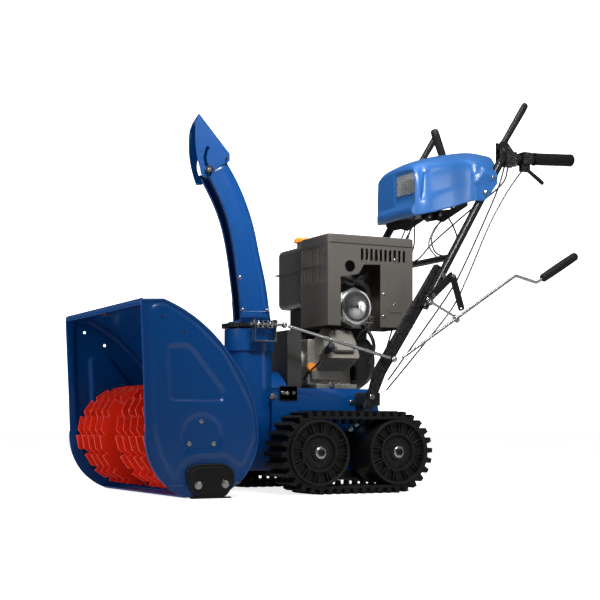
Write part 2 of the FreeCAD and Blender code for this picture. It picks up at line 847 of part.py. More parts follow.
def chute_tube():
    wall = slab("chute_wall", "x", [
        ("chute_front_y", "chute_foot_z", "chute_front_radius", 1),
        ("chute_nose_y", "chute_nose_z"),
        ("chute_tip_y", "chute_tip_z"),
        ("hinge_y - 6", "hinge_z + 12"),
        ("hinge_y + 4", "hinge_z + 2", "chute_back_radius", -1),
        ("chute_back_y", "chute_foot_z"),
    ], "chute_half - chute_sheet", "chute_sheet", [
        ("hinge_y - 4", "hinge_z", "hinge_pin + running_gap"),
        ("knob_y", "knob_z", "3.6"),
    ])
    other = doc.addObject("Part::Mirroring", "chute_wall_right")
    other.Source = wall
    other.Normal = Vector(1, 0, 0)
    back = strip("chute_back", [
        ("hinge_y + 4", "hinge_z + 2", "chute_back_radius", -1),
        ("chute_back_y", "chute_foot_z"),
    ], "chute_sheet", "-chute_half", "chute_half * 2")
    flanges = []
    for i, start in enumerate(("-chute_half", "chute_half - chute_flange")):
        flanges.append(strip(f"chute_flange_{i}", [
            ("chute_front_y", "chute_foot_z", "chute_front_radius", 1),
            ("chute_nose_y", "chute_nose_z"),
        ], "chute_sheet", start, "chute_flange"))
    front, back_edge, cut = "chute_front_y - 12", "chute_back_y + 3", "foot_chamfer"
    corners = [
        (f"{cut} - chute_half", front), (f"chute_half - {cut}", front),
        ("chute_half", f"{front} + {cut}"), ("chute_half", f"{back_edge} - {cut}"),
        (f"chute_half - {cut}", back_edge), (f"{cut} - chute_half", back_edge),
        ("-chute_half", f"{back_edge} - {cut}"), ("-chute_half", f"{front} + {cut}"),
    ]
    foot = slab("chute_foot", "z", corners, "gear_z + chute_gear_height",
                "chute_foot_z - gear_z - chute_gear_height", [("0", "chute_y", "spigot_radius - 24")])
    add("chute", fuse("chute_welded", wall, other, back, foot, *flanges))


def chute_hood():
    def slot_end(radius, angle):
        return (f"hinge_y - 4 + {radius} * cos({angle})", f"hinge_z + {radius} * sin({angle})")

    slot = slab("hood_slot", "x", [
        slot_end("slot_outer", "219") + ("slot_outer", -1),
        slot_end("slot_outer", "148"),
        slot_end("slot_inner", "148") + ("slot_inner", 1),
        slot_end("slot_inner", "219"),
    ], "chute_half - 2", "8")
    wall = slab("hood_wall_sheet", "x", [
        ("hood_low_y", "hood_low_z", "hood_bulge", -1),
        ("hood_peak_y - 8", "hood_peak_z - 22"),
        ("hood_peak_y", "hood_peak_z"),
        ("hinge_y + 6", "hinge_z + 14"),
        ("hinge_y + 6", "hinge_z - 6"),
        ("hinge_y - 16", "hinge_z - 18"),
        ("hood_low_y + 30", "hood_low_z + 14"),
        ("hood_low_y + 16", "hood_low_z + 1"),
    ], "chute_half + hood_gap", "chute_sheet", [
        ("hinge_y - 4", "hinge_z", "hinge_pin + running_gap"),
    ])
    cut = carve("hood_wall", wall, slot)
    other = doc.addObject("Part::Mirroring", "hood_wall_right")
    other.Source = cut
    other.Normal = Vector(1, 0, 0)
    back = slab("hood_back", "x", [
        ("hood_peak_y", "hood_peak_z"),
        ("hinge_y + 6", "hinge_z + 14"),
        ("hinge_y + 4", "hinge_z + 12"),
        ("hood_peak_y - 2", "hood_peak_z - 4"),
    ], "-chute_half - hood_gap", "(chute_half + hood_gap) * 2")
    add("chute_hood", fuse("hood_welded", cut, other, back))
    pins, knobs = [], []
    for side, sign in (("left", 1), ("right", -1)):
        start = "chute_half - 8" if sign > 0 else "-chute_half - chute_sheet - hood_gap - 5"
        pins.append(rod(f"hood_pin_{side}", "x", (start, "hinge_y - 4", "hinge_z"), "hinge_pin",
                        "chute_sheet + hood_gap + 13"))
        stem = "chute_half - 8" if sign > 0 else "-chute_half - chute_sheet - hood_gap - 2"
        grip = "chute_half + chute_sheet + hood_gap + 1" if sign > 0 else "-chute_half - chute_sheet - hood_gap - 13"
        knobs.append(fuse(f"hood_knob_{side}",
                          rod(f"hood_stem_{side}", "x", (stem, "knob_y", "knob_z"), "3.5",
                              "chute_sheet + hood_gap + 10"),
                          rod(f"hood_grip_{side}", "x", (grip, "knob_y", "knob_z"), "knob_radius", "12")))
    add("hood_knobs", *pins, *knobs)


def chute_crank():
    coil_line = ("worm_x", "worm_front + 14", "worm_z")
    worm = fuse("chute_worm_body",
                rod("worm_rod", "y", ("worm_x", "worm_front - 10", "worm_z"), "rod_radius",
                    "joint_y - worm_front + 8"),
                rod("worm_coil", "y", coil_line, "coil_radius - 1", "worm_back - worm_front - 30"))
    add("chute_worm", worm)
    legs = []
    for i, y in enumerate(("worm_front", "worm_back - 3")):
        leg = slab(f"strap_leg_{i}", "y", [
            ("worm_x - 12", "worm_z - strap_drop"), ("worm_x + 12", "worm_z - strap_drop"),
            ("worm_x + 12", "worm_z + 14"), ("worm_x - 12", "worm_z + 14"),
        ], y, "3", [("worm_x", "worm_z", "rod_radius + running_gap")])
        legs.append(leg)
    base = block("strap_base", ("chute_x + collar_radius - 2", "worm_x + 12"), ("worm_front", "worm_back"),
                 ("worm_z - strap_drop - 3", "worm_z - strap_drop"))
    ring_room = rod("strap_clear", "z", ("chute_x", "chute_y", "0"), "collar_radius", "600")
    add("small_brackets", carve("strap", fuse("strap_bent", base, *legs), ring_room))
    start = Vector(d.joint_x, d.joint_y + 8, d.worm_z)
    knee = Vector(d.knee_x, d.knee_y - 14, d.knee_z + 4)
    way = (knee - start).normalize()
    bar = Part.makeCylinder(d.rod_radius, (knee - start).Length - 24, start + way * 12, way)
    add("crank_front_rod", computed("front_bar", bar))



def crank_handle():
    knee = Vector(d.knee_x, d.knee_y, d.knee_z)
    bend = Vector(d.crank_x, d.crank_bend_y, d.crank_bend_z)
    way = (bend - knee).normalize()
    grip_start = Vector(d.crank_x, d.crank_grip_y, d.crank_grip_z)
    grip_end = Vector(d.crank_x, d.crank_end_y, d.crank_end_z)
    turn_point = grip_start - (grip_end - grip_start).normalize() * 26
    rod_start = knee + way * 16
    bar = bent_bar([rod_start, bend, turn_point, grip_end - (grip_end - grip_start) * 0.05], d.rod_radius, 14)
    add("crank_rod", computed("crank_bar", bar))
    along = grip_end - grip_start
    sleeve = Part.makeCylinder(14, along.Length, grip_start, along)
    bore = Part.makeCylinder(d.rod_radius + d.running_gap, along.Length * 0.96, grip_start, along)
    add("crank_grip", computed("crank_sleeve", sleeve.cut(bore)))
    # the two universal joints: a cross block between the rods they connect
    front = Vector(d.joint_x, d.joint_y + 8, d.worm_z)
    joints = []
    for i, (middle, size) in enumerate(((front, 9), (Vector(d.knee_x, d.knee_y - 14, d.knee_z + 4), 9))):
        joints.append(computed(f"joint_block_{i}", Part.makeSphere(size, middle)))
    add("crank_front_rod", *joints)
    # the arm on the handle that carries the rod
    at = knee + way * 232
    eye = Part.makeCylinder(13, 8, at - way * 4, way).cut(
        Part.makeCylinder(d.rod_radius + d.running_gap, 20, at - way * 10, way))
    foot = Vector(d.high_tube_x + d.high_tube, at.y - 89, at.z + 47.5)
    line = (foot + Vector(6, 0, 0)) - (at + Vector(0, -11, 9))
    arm = Part.makeCylinder(4, line.Length, at + Vector(0, -11, 9), line)
    tab = Part.makeCylinder(12, 6, foot + Vector(0.2, 0, 0), Vector(1, 0, 0))
    add("small_brackets", computed("support_arm", eye.fuse([arm, tab])))


def control_cables():
    """Two cables, one from each clutch lever down to the frame."""
    path = [(222, 1060, 975), (222, 1020, 880), (210, 860, 640), (196, 700, 400), (176, 540, 318), (176, 376, 308)]
    add("control_cables", *pair(computed("cable_run", bent_bar(path, 2.5, 50))))


# ---------------------------------------------------------------- tracks

def track_point(way, depth):
    """A point at a distance along the wheels' pitch path, at a depth outside the wheel centres."""
    span = d.wheel_back_y - d.wheel_front_y
    curve = math.pi * d.belt_outer
    way = way % (2 * (span + curve))
    if way < span:
        return Vector(0, d.wheel_front_y + way, d.wheel_z + depth)
    way -= span
    if way < curve:
        angle = way / d.belt_outer
        return Vector(0, d.wheel_back_y + depth * math.sin(angle), d.wheel_z + depth * math.cos(angle))
    way -= curve
    if way < span:
        return Vector(0, d.wheel_back_y - way, d.wheel_z - depth)
    angle = (way - span) / d.belt_outer
    return Vector(0, d.wheel_front_y - depth * math.sin(angle), d.wheel_z - depth * math.cos(angle))


def toothed_loop(base, top, share):
    """A closed loop round both wheels with teeth from one depth to another."""
    length = 2 * (d.wheel_back_y - d.wheel_front_y + math.pi * d.belt_outer)
    pitch = length / d.lug_count
    points = []
    for i in range(int(d.lug_count)):
        start = i * pitch
        half = pitch * share / 2
        for way, depth in ((-half * 1.15, base), (-half * 0.8, top), (half * 0.8, top), (half * 1.15, base)):
            points.append(track_point(start + way + length, depth))
        points.append(track_point(start + pitch / 2, base))
    return Part.Face(Part.makePolygon(points + points[:1]))


def plain_loop(depth):
    outer = Part.makeCylinder(depth, 1, Vector(0, d.wheel_front_y, d.wheel_z), Vector(1, 0, 0))
    rear = Part.makeCylinder(depth, 1, Vector(0, d.wheel_back_y, d.wheel_z), Vector(1, 0, 0))
    middle = Part.makeBox(1, d.wheel_back_y - d.wheel_front_y, depth * 2,
                          Vector(0, d.wheel_front_y, d.wheel_z - depth))
    return outer.fuse([rear, middle]).removeSplitter()


def track_belts():
    width = d.track_outer_x - d.track_inner_x
    tread = toothed_loop(d.belt_outer, d.lug_outer, 0.5).extrude(Vector(width, 0, 0))
    room = plain_loop(d.belt_inner)
    room = room.transformGeometry(FreeCAD.Matrix(width + 2, 0, 0, -1, 0, 1, 0, 0, 0, 0, 1, 0, 0, 0, 0, 1))
    carcass = tread.cut(room)
    guides = Part.Face(plain_face_wire(d.belt_inner + 1)).cut(toothed_inner())
    guides = guides.extrude(Vector(d.guide_half * 2, 0, 0))
    guides.translate(Vector(width / 2 - d.guide_half, 0, 0))
    belt = carcass.fuse(guides)
    solids = belt.Solids
    add("track_belts", *pair(computed("track_rubber", solids[0], Placement(Vector(d.track_inner_x, 0, 0), Rotation()))))


def plain_face_wire(depth):
    front, back, mid = d.wheel_front_y, d.wheel_back_y, d.wheel_z
    edges = [
        Part.LineSegment(Vector(0, front, mid + depth), Vector(0, back, mid + depth)).toShape(),
        Part.Arc(Vector(0, back, mid + depth), Vector(0, back + depth, mid), Vector(0, back, mid - depth)).toShape(),
        Part.LineSegment(Vector(0, back, mid - depth), Vector(0, front, mid - depth)).toShape(),
        Part.Arc(Vector(0, front, mid - depth), Vector(0, front - depth, mid), Vector(0, front, mid + depth)).toShape(),
    ]
    return Part.Wire(edges)


def toothed_inner():
    """The room inside the guide teeth: base close to the belt, teeth reaching in towards the wheels."""
    length = 2 * (d.wheel_back_y - d.wheel_front_y + math.pi * d.belt_outer)
    pitch = length / d.lug_count
    points = []
    for i in range(int(d.lug_count)):
        start = i * pitch
        for way, depth in ((-5, d.belt_inner), (-3.5, d.guide_inner), (3.5, d.guide_inner), (5, d.belt_inner)):
            points.append(track_point(start + way + length, depth))
        points.append(track_point(start + pitch / 2, d.belt_inner))
    return Part.Face(Part.makePolygon(points + points[:1]))


def track_wheel(stem, centre_y, notched):
    middle = "(track_outer_x - track_inner_x - 6) / 2"
    width = "(track_outer_x - track_inner_x - 6)"
    rim = "wheel_radius - 8"
    bore = "axle_radius" if notched else "axle_radius + running_gap"
    body = turned(stem + "_moulding", "x", ("track_inner_x + 3", centre_y, "wheel_z"), [
        (bore, "6"),
        ("hub_radius", "6"),
        ("hub_radius", f"{middle} - 20"),
        (rim, f"{middle} - 20"),
        (rim, "0"),
        ("wheel_radius", "0"),
        ("wheel_radius", f"{middle} - groove_half"),
        ("groove_radius", f"{middle} - groove_half"),
        ("groove_radius", f"{middle} + groove_half"),
        ("wheel_radius", f"{middle} + groove_half"),
        ("wheel_radius", width),
        (rim, width),
        (rim, f"{middle} + 20"),
        ("web_radius + 2", f"{middle} + 20"),
        ("web_radius + 2", f"{width} - 5"),
        ("web_radius - 3", f"{width} - 5"),
        ("web_radius - 3", f"{middle} + 26"),
        ("hub_radius", f"{middle} + 26"),
        ("hub_radius", f"{width} - 1"),
        (bore, f"{width} - 1"),
    ])
    ribs = []
    half_width = (d.track_outer_x - d.track_inner_x - 6) / 2
    count = 12
    for i in range(count):
        for j, lean in enumerate((-5, 5)):
            rib = doc.addObject("Part::Box", f"{stem}_rib_{i}_{j}")
            rib.Length = half_width - 28
            rib.Width = 3
            bind(rib, "Height", "wheel_radius - web_radius - 8")
            turn = Rotation(Vector(1, 0, 0), 360 / count * i + lean)
            start = turn.multVec(Vector(0, -1.5, d.web_radius + 1))
            centre = Vector(d.track_inner_x + 3 + half_width + 18, number(centre_y), d.wheel_z)
            rib.Placement = Placement(centre + start, turn)
            ribs.append(rib)
    wheel = fuse(stem + "_ribbed", body, *ribs)
    if notched:
        notches = []
        for i in range(14):
            notch = doc.addObject("Part::Box", f"{stem}_notch_{i}")
            notch.Length = 26
            notch.Width = 12
            notch.Height = 12
            turn = Rotation(Vector(1, 0, 0), 360 / 14 * i)
            start = turn.multVec(Vector(0, -6, d.wheel_radius - 6))
            notch.Placement = Placement(Vector(d.track_outer_x - 3 - 24, number(centre_y), d.wheel_z) + start, turn)
            notches.append(notch)
        wheel = carve(stem + "_notched", wheel, *notches)
    both_sides(stem, wheel)


def axles():
    front = rod("idler_stub", "x", ("frame_half + 5", "wheel_front_y", "wheel_z"), "axle_radius",
                "track_outer_x - frame_half - 3")
    add("track_frames", *pair(front))
    back = rod("drive_half_shaft", "x", ("steer_half - 14", "wheel_back_y", "wheel_z"), "axle_radius",
               "track_outer_x - steer_half + 16")
    both_sides("drive_wheel", back)
    for stem, centre in (("idler", "wheel_front_y"), ("drive", "wheel_back_y")):
        cap = ring(f"{stem}_cap_ring", "x", ("track_outer_x - 3.5", centre, "wheel_z"), "collar_hub",
                   "axle_radius + 0.1", "7")
        screw = bolt(f"{stem}_cap_screw", "x", ("track_outer_x + 4", centre, "wheel_z"), "axle_radius * 0.45",
                     "1.9", "4", True)
        both_sides(f"{stem}_wheel", cap, screw)


def track_frames():
    arm = slab("track_arm", "x", [
        ("wheel_front_y - 26", "wheel_z - 22"),
        ("wheel_back_y + 26", "wheel_z - 22"),
        ("wheel_back_y + 26", "wheel_z + 22"),
        ("(wheel_front_y + wheel_back_y) / 2 + 40", "wheel_z + 60"),
        ("(wheel_front_y + wheel_back_y) / 2 - 40", "wheel_z + 60"),
        ("wheel_front_y - 26", "wheel_z + 22"),
    ], "frame_half + 5", "8", [
        ("wheel_front_y", "wheel_z", "axle_radius"),
        ("wheel_back_y", "wheel_z", "axle_radius + running_gap"),
    ])
    spacer = block("track_arm_spacer", ("frame_half", "frame_half + 5"), ("440", "540"),
                   ("wheel_z + 20", "wheel_z + 56"))
    add("track_frames", *pair(fuse("track_arm_welded", arm, spacer)))


# ---------------------------------------------------------------- tractor frame and drive

def tractor_frame():
    side = slab("frame_sheet", "x", [
        ("frame_front", "frame_low"),
        ("frame_back", "frame_low"),
        ("frame_back", "frame_low + 130"),
        ("frame_step + 20", "frame_low + 150"),
        ("frame_step", "frame_top"),
        ("frame_front", "frame_top"),
    ], "frame_half - sheet", "sheet", [
        ("wheel_back_y", "wheel_z", "axle_radius + running_gap"),
        ("hex_y", "hex_z", "8.05"),
        ("frame_front + 10", "276", "3.1"),
        ("545", "260", "3.1"),
    ])
    inner = ("sheet - frame_half", "frame_half - sheet")
    plate = block("bulkhead_sheet", inner, ("drum_end", "drum_end + sheet"), ("frame_low", "frame_top - sheet"))
    hole = rod("bulkhead_hole", "y", ("0", "drum_end - 5", "auger_z + worm_offset"), "36", "20")
    bulkhead = carve("bulkhead", plate, hole)
    deck = block("deck_sheet", inner, ("guard_back + 4", "frame_step - 2"), ("frame_top - sheet", "frame_top"))
    add("engine_deck", deck)
    rear = block("rear_sheet", inner, ("frame_back - sheet", "frame_back"), ("frame_low", "frame_low + 128"))
    add("tractor_frame", fuse("frame_welded", *pair(side), bulkhead, rear))
    pan = block("pan_outside", ("4 - frame_half", "frame_half - 4"), ("frame_front + 90", "frame_back"),
                ("pan_z", "frame_low"))
    room = block("pan_inside", ("7 - frame_half", "frame_half - 7"), ("frame_front + 93", "frame_back - 3"),
                 ("pan_z + 3", "frame_low + 1"))
    add("belly_pan", carve("pan", pan, room))
    fixings = []
    for i, (y, z) in enumerate((("frame_front + 10", "276"), ("322", "288"), ("352", "288"), ("545", "260"))):
        start = "frame_half" if i in (0, 3) else "frame_half + 4"
        fixings.append(bolt(f"frame_bolt_{i}", "x", (start, y, z), "3", "2.9" if i in (0, 3) else "4", "4", True))
    add("hex_bolts", *pair(*fixings))
    tab = block("cable_tab_sheet", ("frame_half", "frame_half + 4"), ("310", "364"), ("268", "306"))
    holes = [rod(f"tab_hole_{i}", "x", ("frame_half - 5", y, "288"), "3.2", "20") for i, y in enumerate(("322", "352"))]
    add("small_brackets", *pair(carve("cable_tab_drilled", tab, *holes)))


def drive():
    disc = turned("drive_disc_body", "y", ("0", "disc_y", "hex_z"), [
        ("0", "disc_sheet"), ("disc_radius", "disc_sheet"), ("disc_radius", "0"), ("22", "0"), ("22", "-12"),
        ("0", "-12"),
    ])
    add("drive_disc", disc)
    stub = rod("disc_stub", "y", ("0", "pulley_y + pulley_gap", "hex_z"), "9", "disc_y - 12 - pulley_y - pulley_gap")
    add("drive_disc", stub)
    wheel = turned("friction_body", "x", ("friction_x - friction_width / 2", "hex_y", "hex_z"), [
        ("8", "0"), ("friction_radius - 8", "0"), ("friction_radius - 8", "friction_width"), ("8", "friction_width"),
    ])
    add("friction_wheel", wheel)
    tyre = ring("friction_tyre_ring", "x", ("friction_x - friction_width / 2 + 2", "hex_y", "hex_z"),
                "friction_radius", "friction_radius - 8", "friction_width - 4")
    add("friction_wheel", tyre)
    add("friction_wheel", rod("hex_bar", "x", ("steer_half + 1", "hex_y", "hex_z"), "8", "frame_half - steer_half - 2"))
    case = block("steer_case", ("-steer_half", "steer_half"), ("steer_front", "steer_back"), ("steer_low", "steer_top"))
    bores = [rod("steer_bore", "x", ("-steer_half - 1", "wheel_back_y", "wheel_z"), "axle_radius + running_gap",
                 "steer_half * 2 + 2")]
    add("steering_gearbox", carve("steer_bored", case, *bores))


def pulley(name, at, radius, bore):
    middle = "pulley_width / 2"
    return turned(name, "y", at, [
        (bore, "0"), (radius, "0"), (f"{radius}", f"{middle} - belt_width / 2 - 1"),
        (f"{radius} - groove_depth", f"{middle} - belt_width / 2 - 1"),
        (f"{radius} - groove_depth", f"{middle} + belt_width / 2 + 1"),
        (radius, f"{middle} + belt_width / 2 + 1"), (radius, "pulley_width"), (bore, "pulley_width"),
    ])


def belt_loop(top_radius, bottom_radius, top_z, bottom_z, start):
    """A flat loop pulled straight round two pulleys of different size."""
    def hull(grow):
        big, small = bottom_radius + grow, top_radius + grow
        lean = math.asin((big - small) / (top_z - bottom_z))
        side = Vector(math.cos(lean), 0, math.sin(lean))
        low, high = Vector(0, start, bottom_z), Vector(0, start, top_z)
        flip = Vector(-1, 1, 1)
        p1, p2 = low + side * big, high + side * small
        p3, p4 = [Vector(p.x * flip.x, p.y, p.z) for p in (p2, p1)]
        edges = [
            Part.LineSegment(p1, p2).toShape(),
            Part.Arc(p2, high + Vector(0, 0, small), p3).toShape(),
            Part.LineSegment(p3, p4).toShape(),
            Part.Arc(p4, low - Vector(0, 0, big), p1).toShape(),
        ]
        return Part.Face(Part.Wire(edges)).extrude(Vector(0, d.belt_width, 0))
    return hull(d.belt_gap + d.belt_height).cut(hull(d.belt_gap))


def belts():
    start_1 = "pulley_y"
    start_2 = "pulley_y + pulley_gap"
    shaft = rod("crankshaft_bar", "y", ("0", "pulley_y - 3", "crank_z"), "crankshaft",
                "engine_front + 20 - pulley_y + 3")
    add("crankshaft", shaft)
    add("crankshaft", pulley("engine_pulley_1", ("0", start_1, "crank_z"), "engine_pulley", "crankshaft"),
         pulley("engine_pulley_2", ("0", start_2, "crank_z"), "engine_pulley", "crankshaft"))
    add("impeller_shaft", pulley("impeller_sheave", ("0", start_1, "auger_z + worm_offset"), "drum_pulley",
                                   "shaft_radius"))
    add("drive_disc", pulley("drive_sheave", ("0", start_2, "hex_z"), "disc_pulley", "9"))
    offset = (d.pulley_width - d.belt_width) / 2
    loops = [
        belt_loop(d.engine_pulley - d.groove_depth, d.drum_pulley - d.groove_depth, d.crank_z,
                  d.auger_z + d.worm_offset, d.pulley_y + offset),
        belt_loop(d.engine_pulley - d.groove_depth, d.disc_pulley - d.groove_depth, d.crank_z, d.hex_z,
                  d.pulley_y + d.pulley_gap + offset),
    ]
    add("drive_belts", *[computed(f"belt_{i}", loop) for i, loop in enumerate(loops)])
    outside = block("guard_outside", ("-guard_half", "guard_half"), ("guard_front", "guard_back"),
                    ("frame_top + 1", "guard_top"))
    inside = block("guard_inside", ("sheet - guard_half", "guard_half - sheet"), ("guard_front + sheet", "guard_back - sheet"),
                   ("frame_top", "guard_top - sheet"))
    hole = rod("guard_hole", "y", ("0", "guard_back - 10", "crank_z"), "crankshaft + 3", "20")
    add("belt_guard", carve("guard", outside, inside, hole))


# ---------------------------------------------------------------- engine

def engine():
    case = block("crankcase", ("-62", "62"), ("engine_front + 8", "engine_back"), ("frame_top + 14", "crank_z + 62"))
    base = block("engine_foot", ("-engine_half", "engine_half"), ("engine_front + 20", "engine_back + 4"),
                 ("frame_top", "frame_top + 16"))
    boss = rod("engine_boss", "y", ("0", "engine_front", "crank_z"), "34", "30")
    bore = rod("engine_bore", "y", ("0", "engine_front - 5", "crank_z"), "crankshaft + running_gap", "26")
    lean = Rotation(Vector(0, 1, 0), 62)
    root = Vector(28, 0, d.crank_z - 4)
    parts = []
    for i in range(9):
        fin = doc.addObject("Part::Box", f"fin_{i}")
        fin.Length = 104
        fin.Width = 112
        fin.Height = 3
        offset = lean.multVec(Vector(-52, 0, 34 + i * 7))
        fin.Placement = Placement(root + offset + Vector(0, 476, 0), lean)
        parts.append(fin)
    core = doc.addObject("Part::Box", "cylinder_core")
    core.Length = 78
    core.Width = 86
    core.Height = 112
    core.Placement = Placement(root + lean.multVec(Vector(-39, 0, 0)) + Vector(0, 489, 0), lean)
    foot_clear = block("engine_clear", ("-200", "300"), ("300", "800"), ("200", "frame_top"))
    block_shape = carve("engine_bored", fuse("engine_cast", case, base, boss, core, *parts), bore, foot_clear)
    add("engine_block", block_shape)
    head = doc.addObject("Part::Box", "head_cover")
    head.Length = 74
    head.Width = 82
    head.Height = 14
    head.Placement = Placement(root + lean.multVec(Vector(-37, 0, 112)) + Vector(0, 491, 0), lean)
    add("engine_block", head)
    add("oil_cap", rod("oil_cap_grip", "x", ("engine_half - 29", "engine_front + 14", "frame_top + 66"), "13", "12"))
    add("engine_block", rod("oil_neck_tube", "x", ("62", "engine_front + 14", "frame_top + 66"), "11",
                         "engine_half - 29.4 - 62"))
    recoil = turned("recoil_cover", "y", ("0", "engine_back + 4", "crank_z"), [
        ("0", "0"), ("recoil_radius", "0"), ("recoil_radius", "52"), ("recoil_radius - 14", "74"),
        ("recoil_radius - 34", "recoil_back - engine_back - 4"), ("0", "recoil_back - engine_back - 4"),
    ])
    add("recoil_housing", recoil)
    handle = fuse("recoil_grip",
                  block("recoil_bar", ("-78", "-34"), ("recoil_back + 14", "recoil_back + 26"), ("crank_z + 44", "crank_z + 56")),
                  rod("recoil_stem", "y", ("-56", "recoil_back - 2", "crank_z + 50"), "5", "20"))
    add("recoil_handle", handle)
    drum = turned("muffler_drum", "x", ("cover_x1 - muffler_depth - 8", "muffler_y", "muffler_z"), [
        ("0", "0"), ("muffler_radius - 5", "0"), ("muffler_radius", "5"), ("muffler_radius", "muffler_depth - 12"),
        ("muffler_radius - 12", "muffler_depth - 2"), ("0", "muffler_depth"),
    ])
    add("muffler", drum)


def engine_cover():
    outside = block("cover_outside", ("cover_x0", "cover_x1"), ("cover_y0", "cover_y1"), ("cover_z0", "cover_z1"))
    inside = block("cover_inside", ("cover_x0 + cover_wall", "cover_x1 - cover_wall"),
                   ("cover_y0 + cover_wall", "cover_y1 - cover_wall"), ("cover_z0 - 1", "cover_z1 - cover_wall"))
    window = slab("cover_window", "x", [
        ("cut_front_y", "cover_z0 - 1"), ("cut_back_y", "cover_z0 - 1"), ("cut_back_y", "port_z + 9"),
        ("cut_back_y - 56", "port_z + 7"), ("cut_front_y + 60", "port_z - 22"), ("cut_front_y", "port_z - 32"),
    ], "cover_x1 - cover_wall - 1", "cover_wall + 2")
    holes = [window, rod("cover_port", "x", ("cover_x1 - 5", "port_y", "port_z"), "port_radius - 5", "10")]
    for i in range(int(d.slot_count)):
        y = f"side_slot_y + {i} * side_slot_pitch"
        holes.append(block(f"side_slot_{i}", ("cover_x1 - 5", "cover_x1 + 1"), (y, f"{y} + slot_width"),
                           ("side_slot_z", "side_slot_z + side_slot_height")))
        x = f"front_slot_x + {i} * front_slot_pitch"
        for row in range(2):
            z = f"front_slot_z + {row} * (front_slot_height + front_row_gap)"
            holes.append(block(f"front_slot_{row}_{i}", (x, f"{x} + slot_width"), ("cover_y0 - 1", "cover_y0 + 5"),
                               (z, f"{z} + front_slot_height")))
    add("engine_cover", carve("cover", outside, inside, *holes))


def fuel():
    tank = block("tank_block", ("tank_x0", "tank_x1"), ("tank_y0", "tank_y1"), ("tank_z0", "tank_z1"))
    round_edges = doc.addObject("Part::Fillet", "tank_round")
    round_edges.Base = tank
    round_edges.Edges = [(i, 18.0, 18.0) for i in range(1, 13)]
    seam = block("tank_seam", ("tank_x0 - 8", "tank_x1 + 2"), ("tank_y0 - 4", "tank_y1 + 4"), ("664", "668"))
    add("fuel_tank", fuse("tank_welded", round_edges, seam))
    add("fuel_tank", ring("fuel_neck_ring", "z", ("cap_x", "cap_y", "tank_z1"), "16", "13", "neck_rise"))
    cap = turned("fuel_cap_body", "z", ("cap_x", "cap_y", "tank_z1 + neck_rise"), [
        ("0", "0.5"), ("cap_radius", "0.5"), ("cap_radius", "10"), ("cap_radius - 5", "16"), ("0", "16"),
    ])
    add("fuel_cap", cap)
    add("carburettor", block("air_box", ("-150", "-66"), ("500", "604"), ("474", "554")))
    add("carburettor", block("carb_body", ("-100", "-62.5"), ("510", "560"), ("400", "473")))


# ---------------------------------------------------------------- handles and controls

def handles():
    strip_line = [
        ("low_foot_y - 10", "low_foot_z - 8"),
        ("low_bend_y - 15", "low_bend_z + 8"),
        ("low_top_y - 15", "low_top_z + 8"),
    ]
    across = [("low_foot_y + 12", "low_foot_z - 8"), ("low_bend_y + 15", "low_bend_z - 8"),
              ("low_top_y + 15", "low_top_z - 8")]
    low = slab("low_tube_bar", "x", strip_line + across[::-1], "low_tube_x - low_tube_half", "low_tube_half * 2")
    add("lower_handles", *pair(low))
    bracket = block("low_bracket_block", ("frame_half", "low_tube_x - low_tube_half"), ("556", "612"), ("252", "290"))
    add("lower_handles", *pair(bracket))
    path = [(d.high_tube_x, d.high_foot_y, d.high_foot_z), (d.high_tube_x, d.high_bend_y, d.high_bend_z),
            (d.high_tube_x, d.grip_end_y - 3, d.grip_end_z)]
    add("upper_handles", *pair(computed("high_tube_bar", bent_bar(path, d.high_tube, 45))))
    bolts = []
    for i, (y, z) in enumerate((("764", "578"), ("800", "638"))):
        bolts.append(hexagon(f"joint_bolt_{i}", "x", ("high_tube_x + high_tube", y, z), "8", "6"))
    add("hex_bolts", *pair(*bolts))
    half = "high_tube_x - high_tube"
    add("lower_handles", rod("brace_bar", "x", (f"-({half})", "high_foot_y + 93", "high_foot_z + 155"), "10", f"2 * ({half})"))
    start = Vector(d.high_tube_x, d.high_bend_y, d.high_bend_z)
    end = Vector(d.high_tube_x, d.grip_end_y, d.grip_end_z)
    way = (end - start).normalize()
    first = start + way * (d.grip_start_y - d.high_bend_y)
    rubber = Part.makeCylinder(d.grip_radius, (end - first).Length, first, way)
    room = Part.makeCylinder(d.high_tube + 0.3, (end - first).Length - 2.5, first, way)
    add("hand_grips", *pair(computed("grip_rubber", rubber.cut(room))))


def posed(thing, at, lean):
    """Stand a piece that was drawn upright at a point, leaning back by some degrees."""
    place(thing, at, Rotation(Vector(1, 0, 0), -lean))
    return thing


def tube_room(name, gap=0.3):
    path = [(d.high_tube_x, d.high_foot_y, d.high_foot_z), (d.high_tube_x, d.high_bend_y, d.high_bend_z),
            (d.high_tube_x, d.grip_end_y + 30, d.grip_end_z + 2)]
    return computed(name, bent_bar(path, d.high_tube + gap, 45))


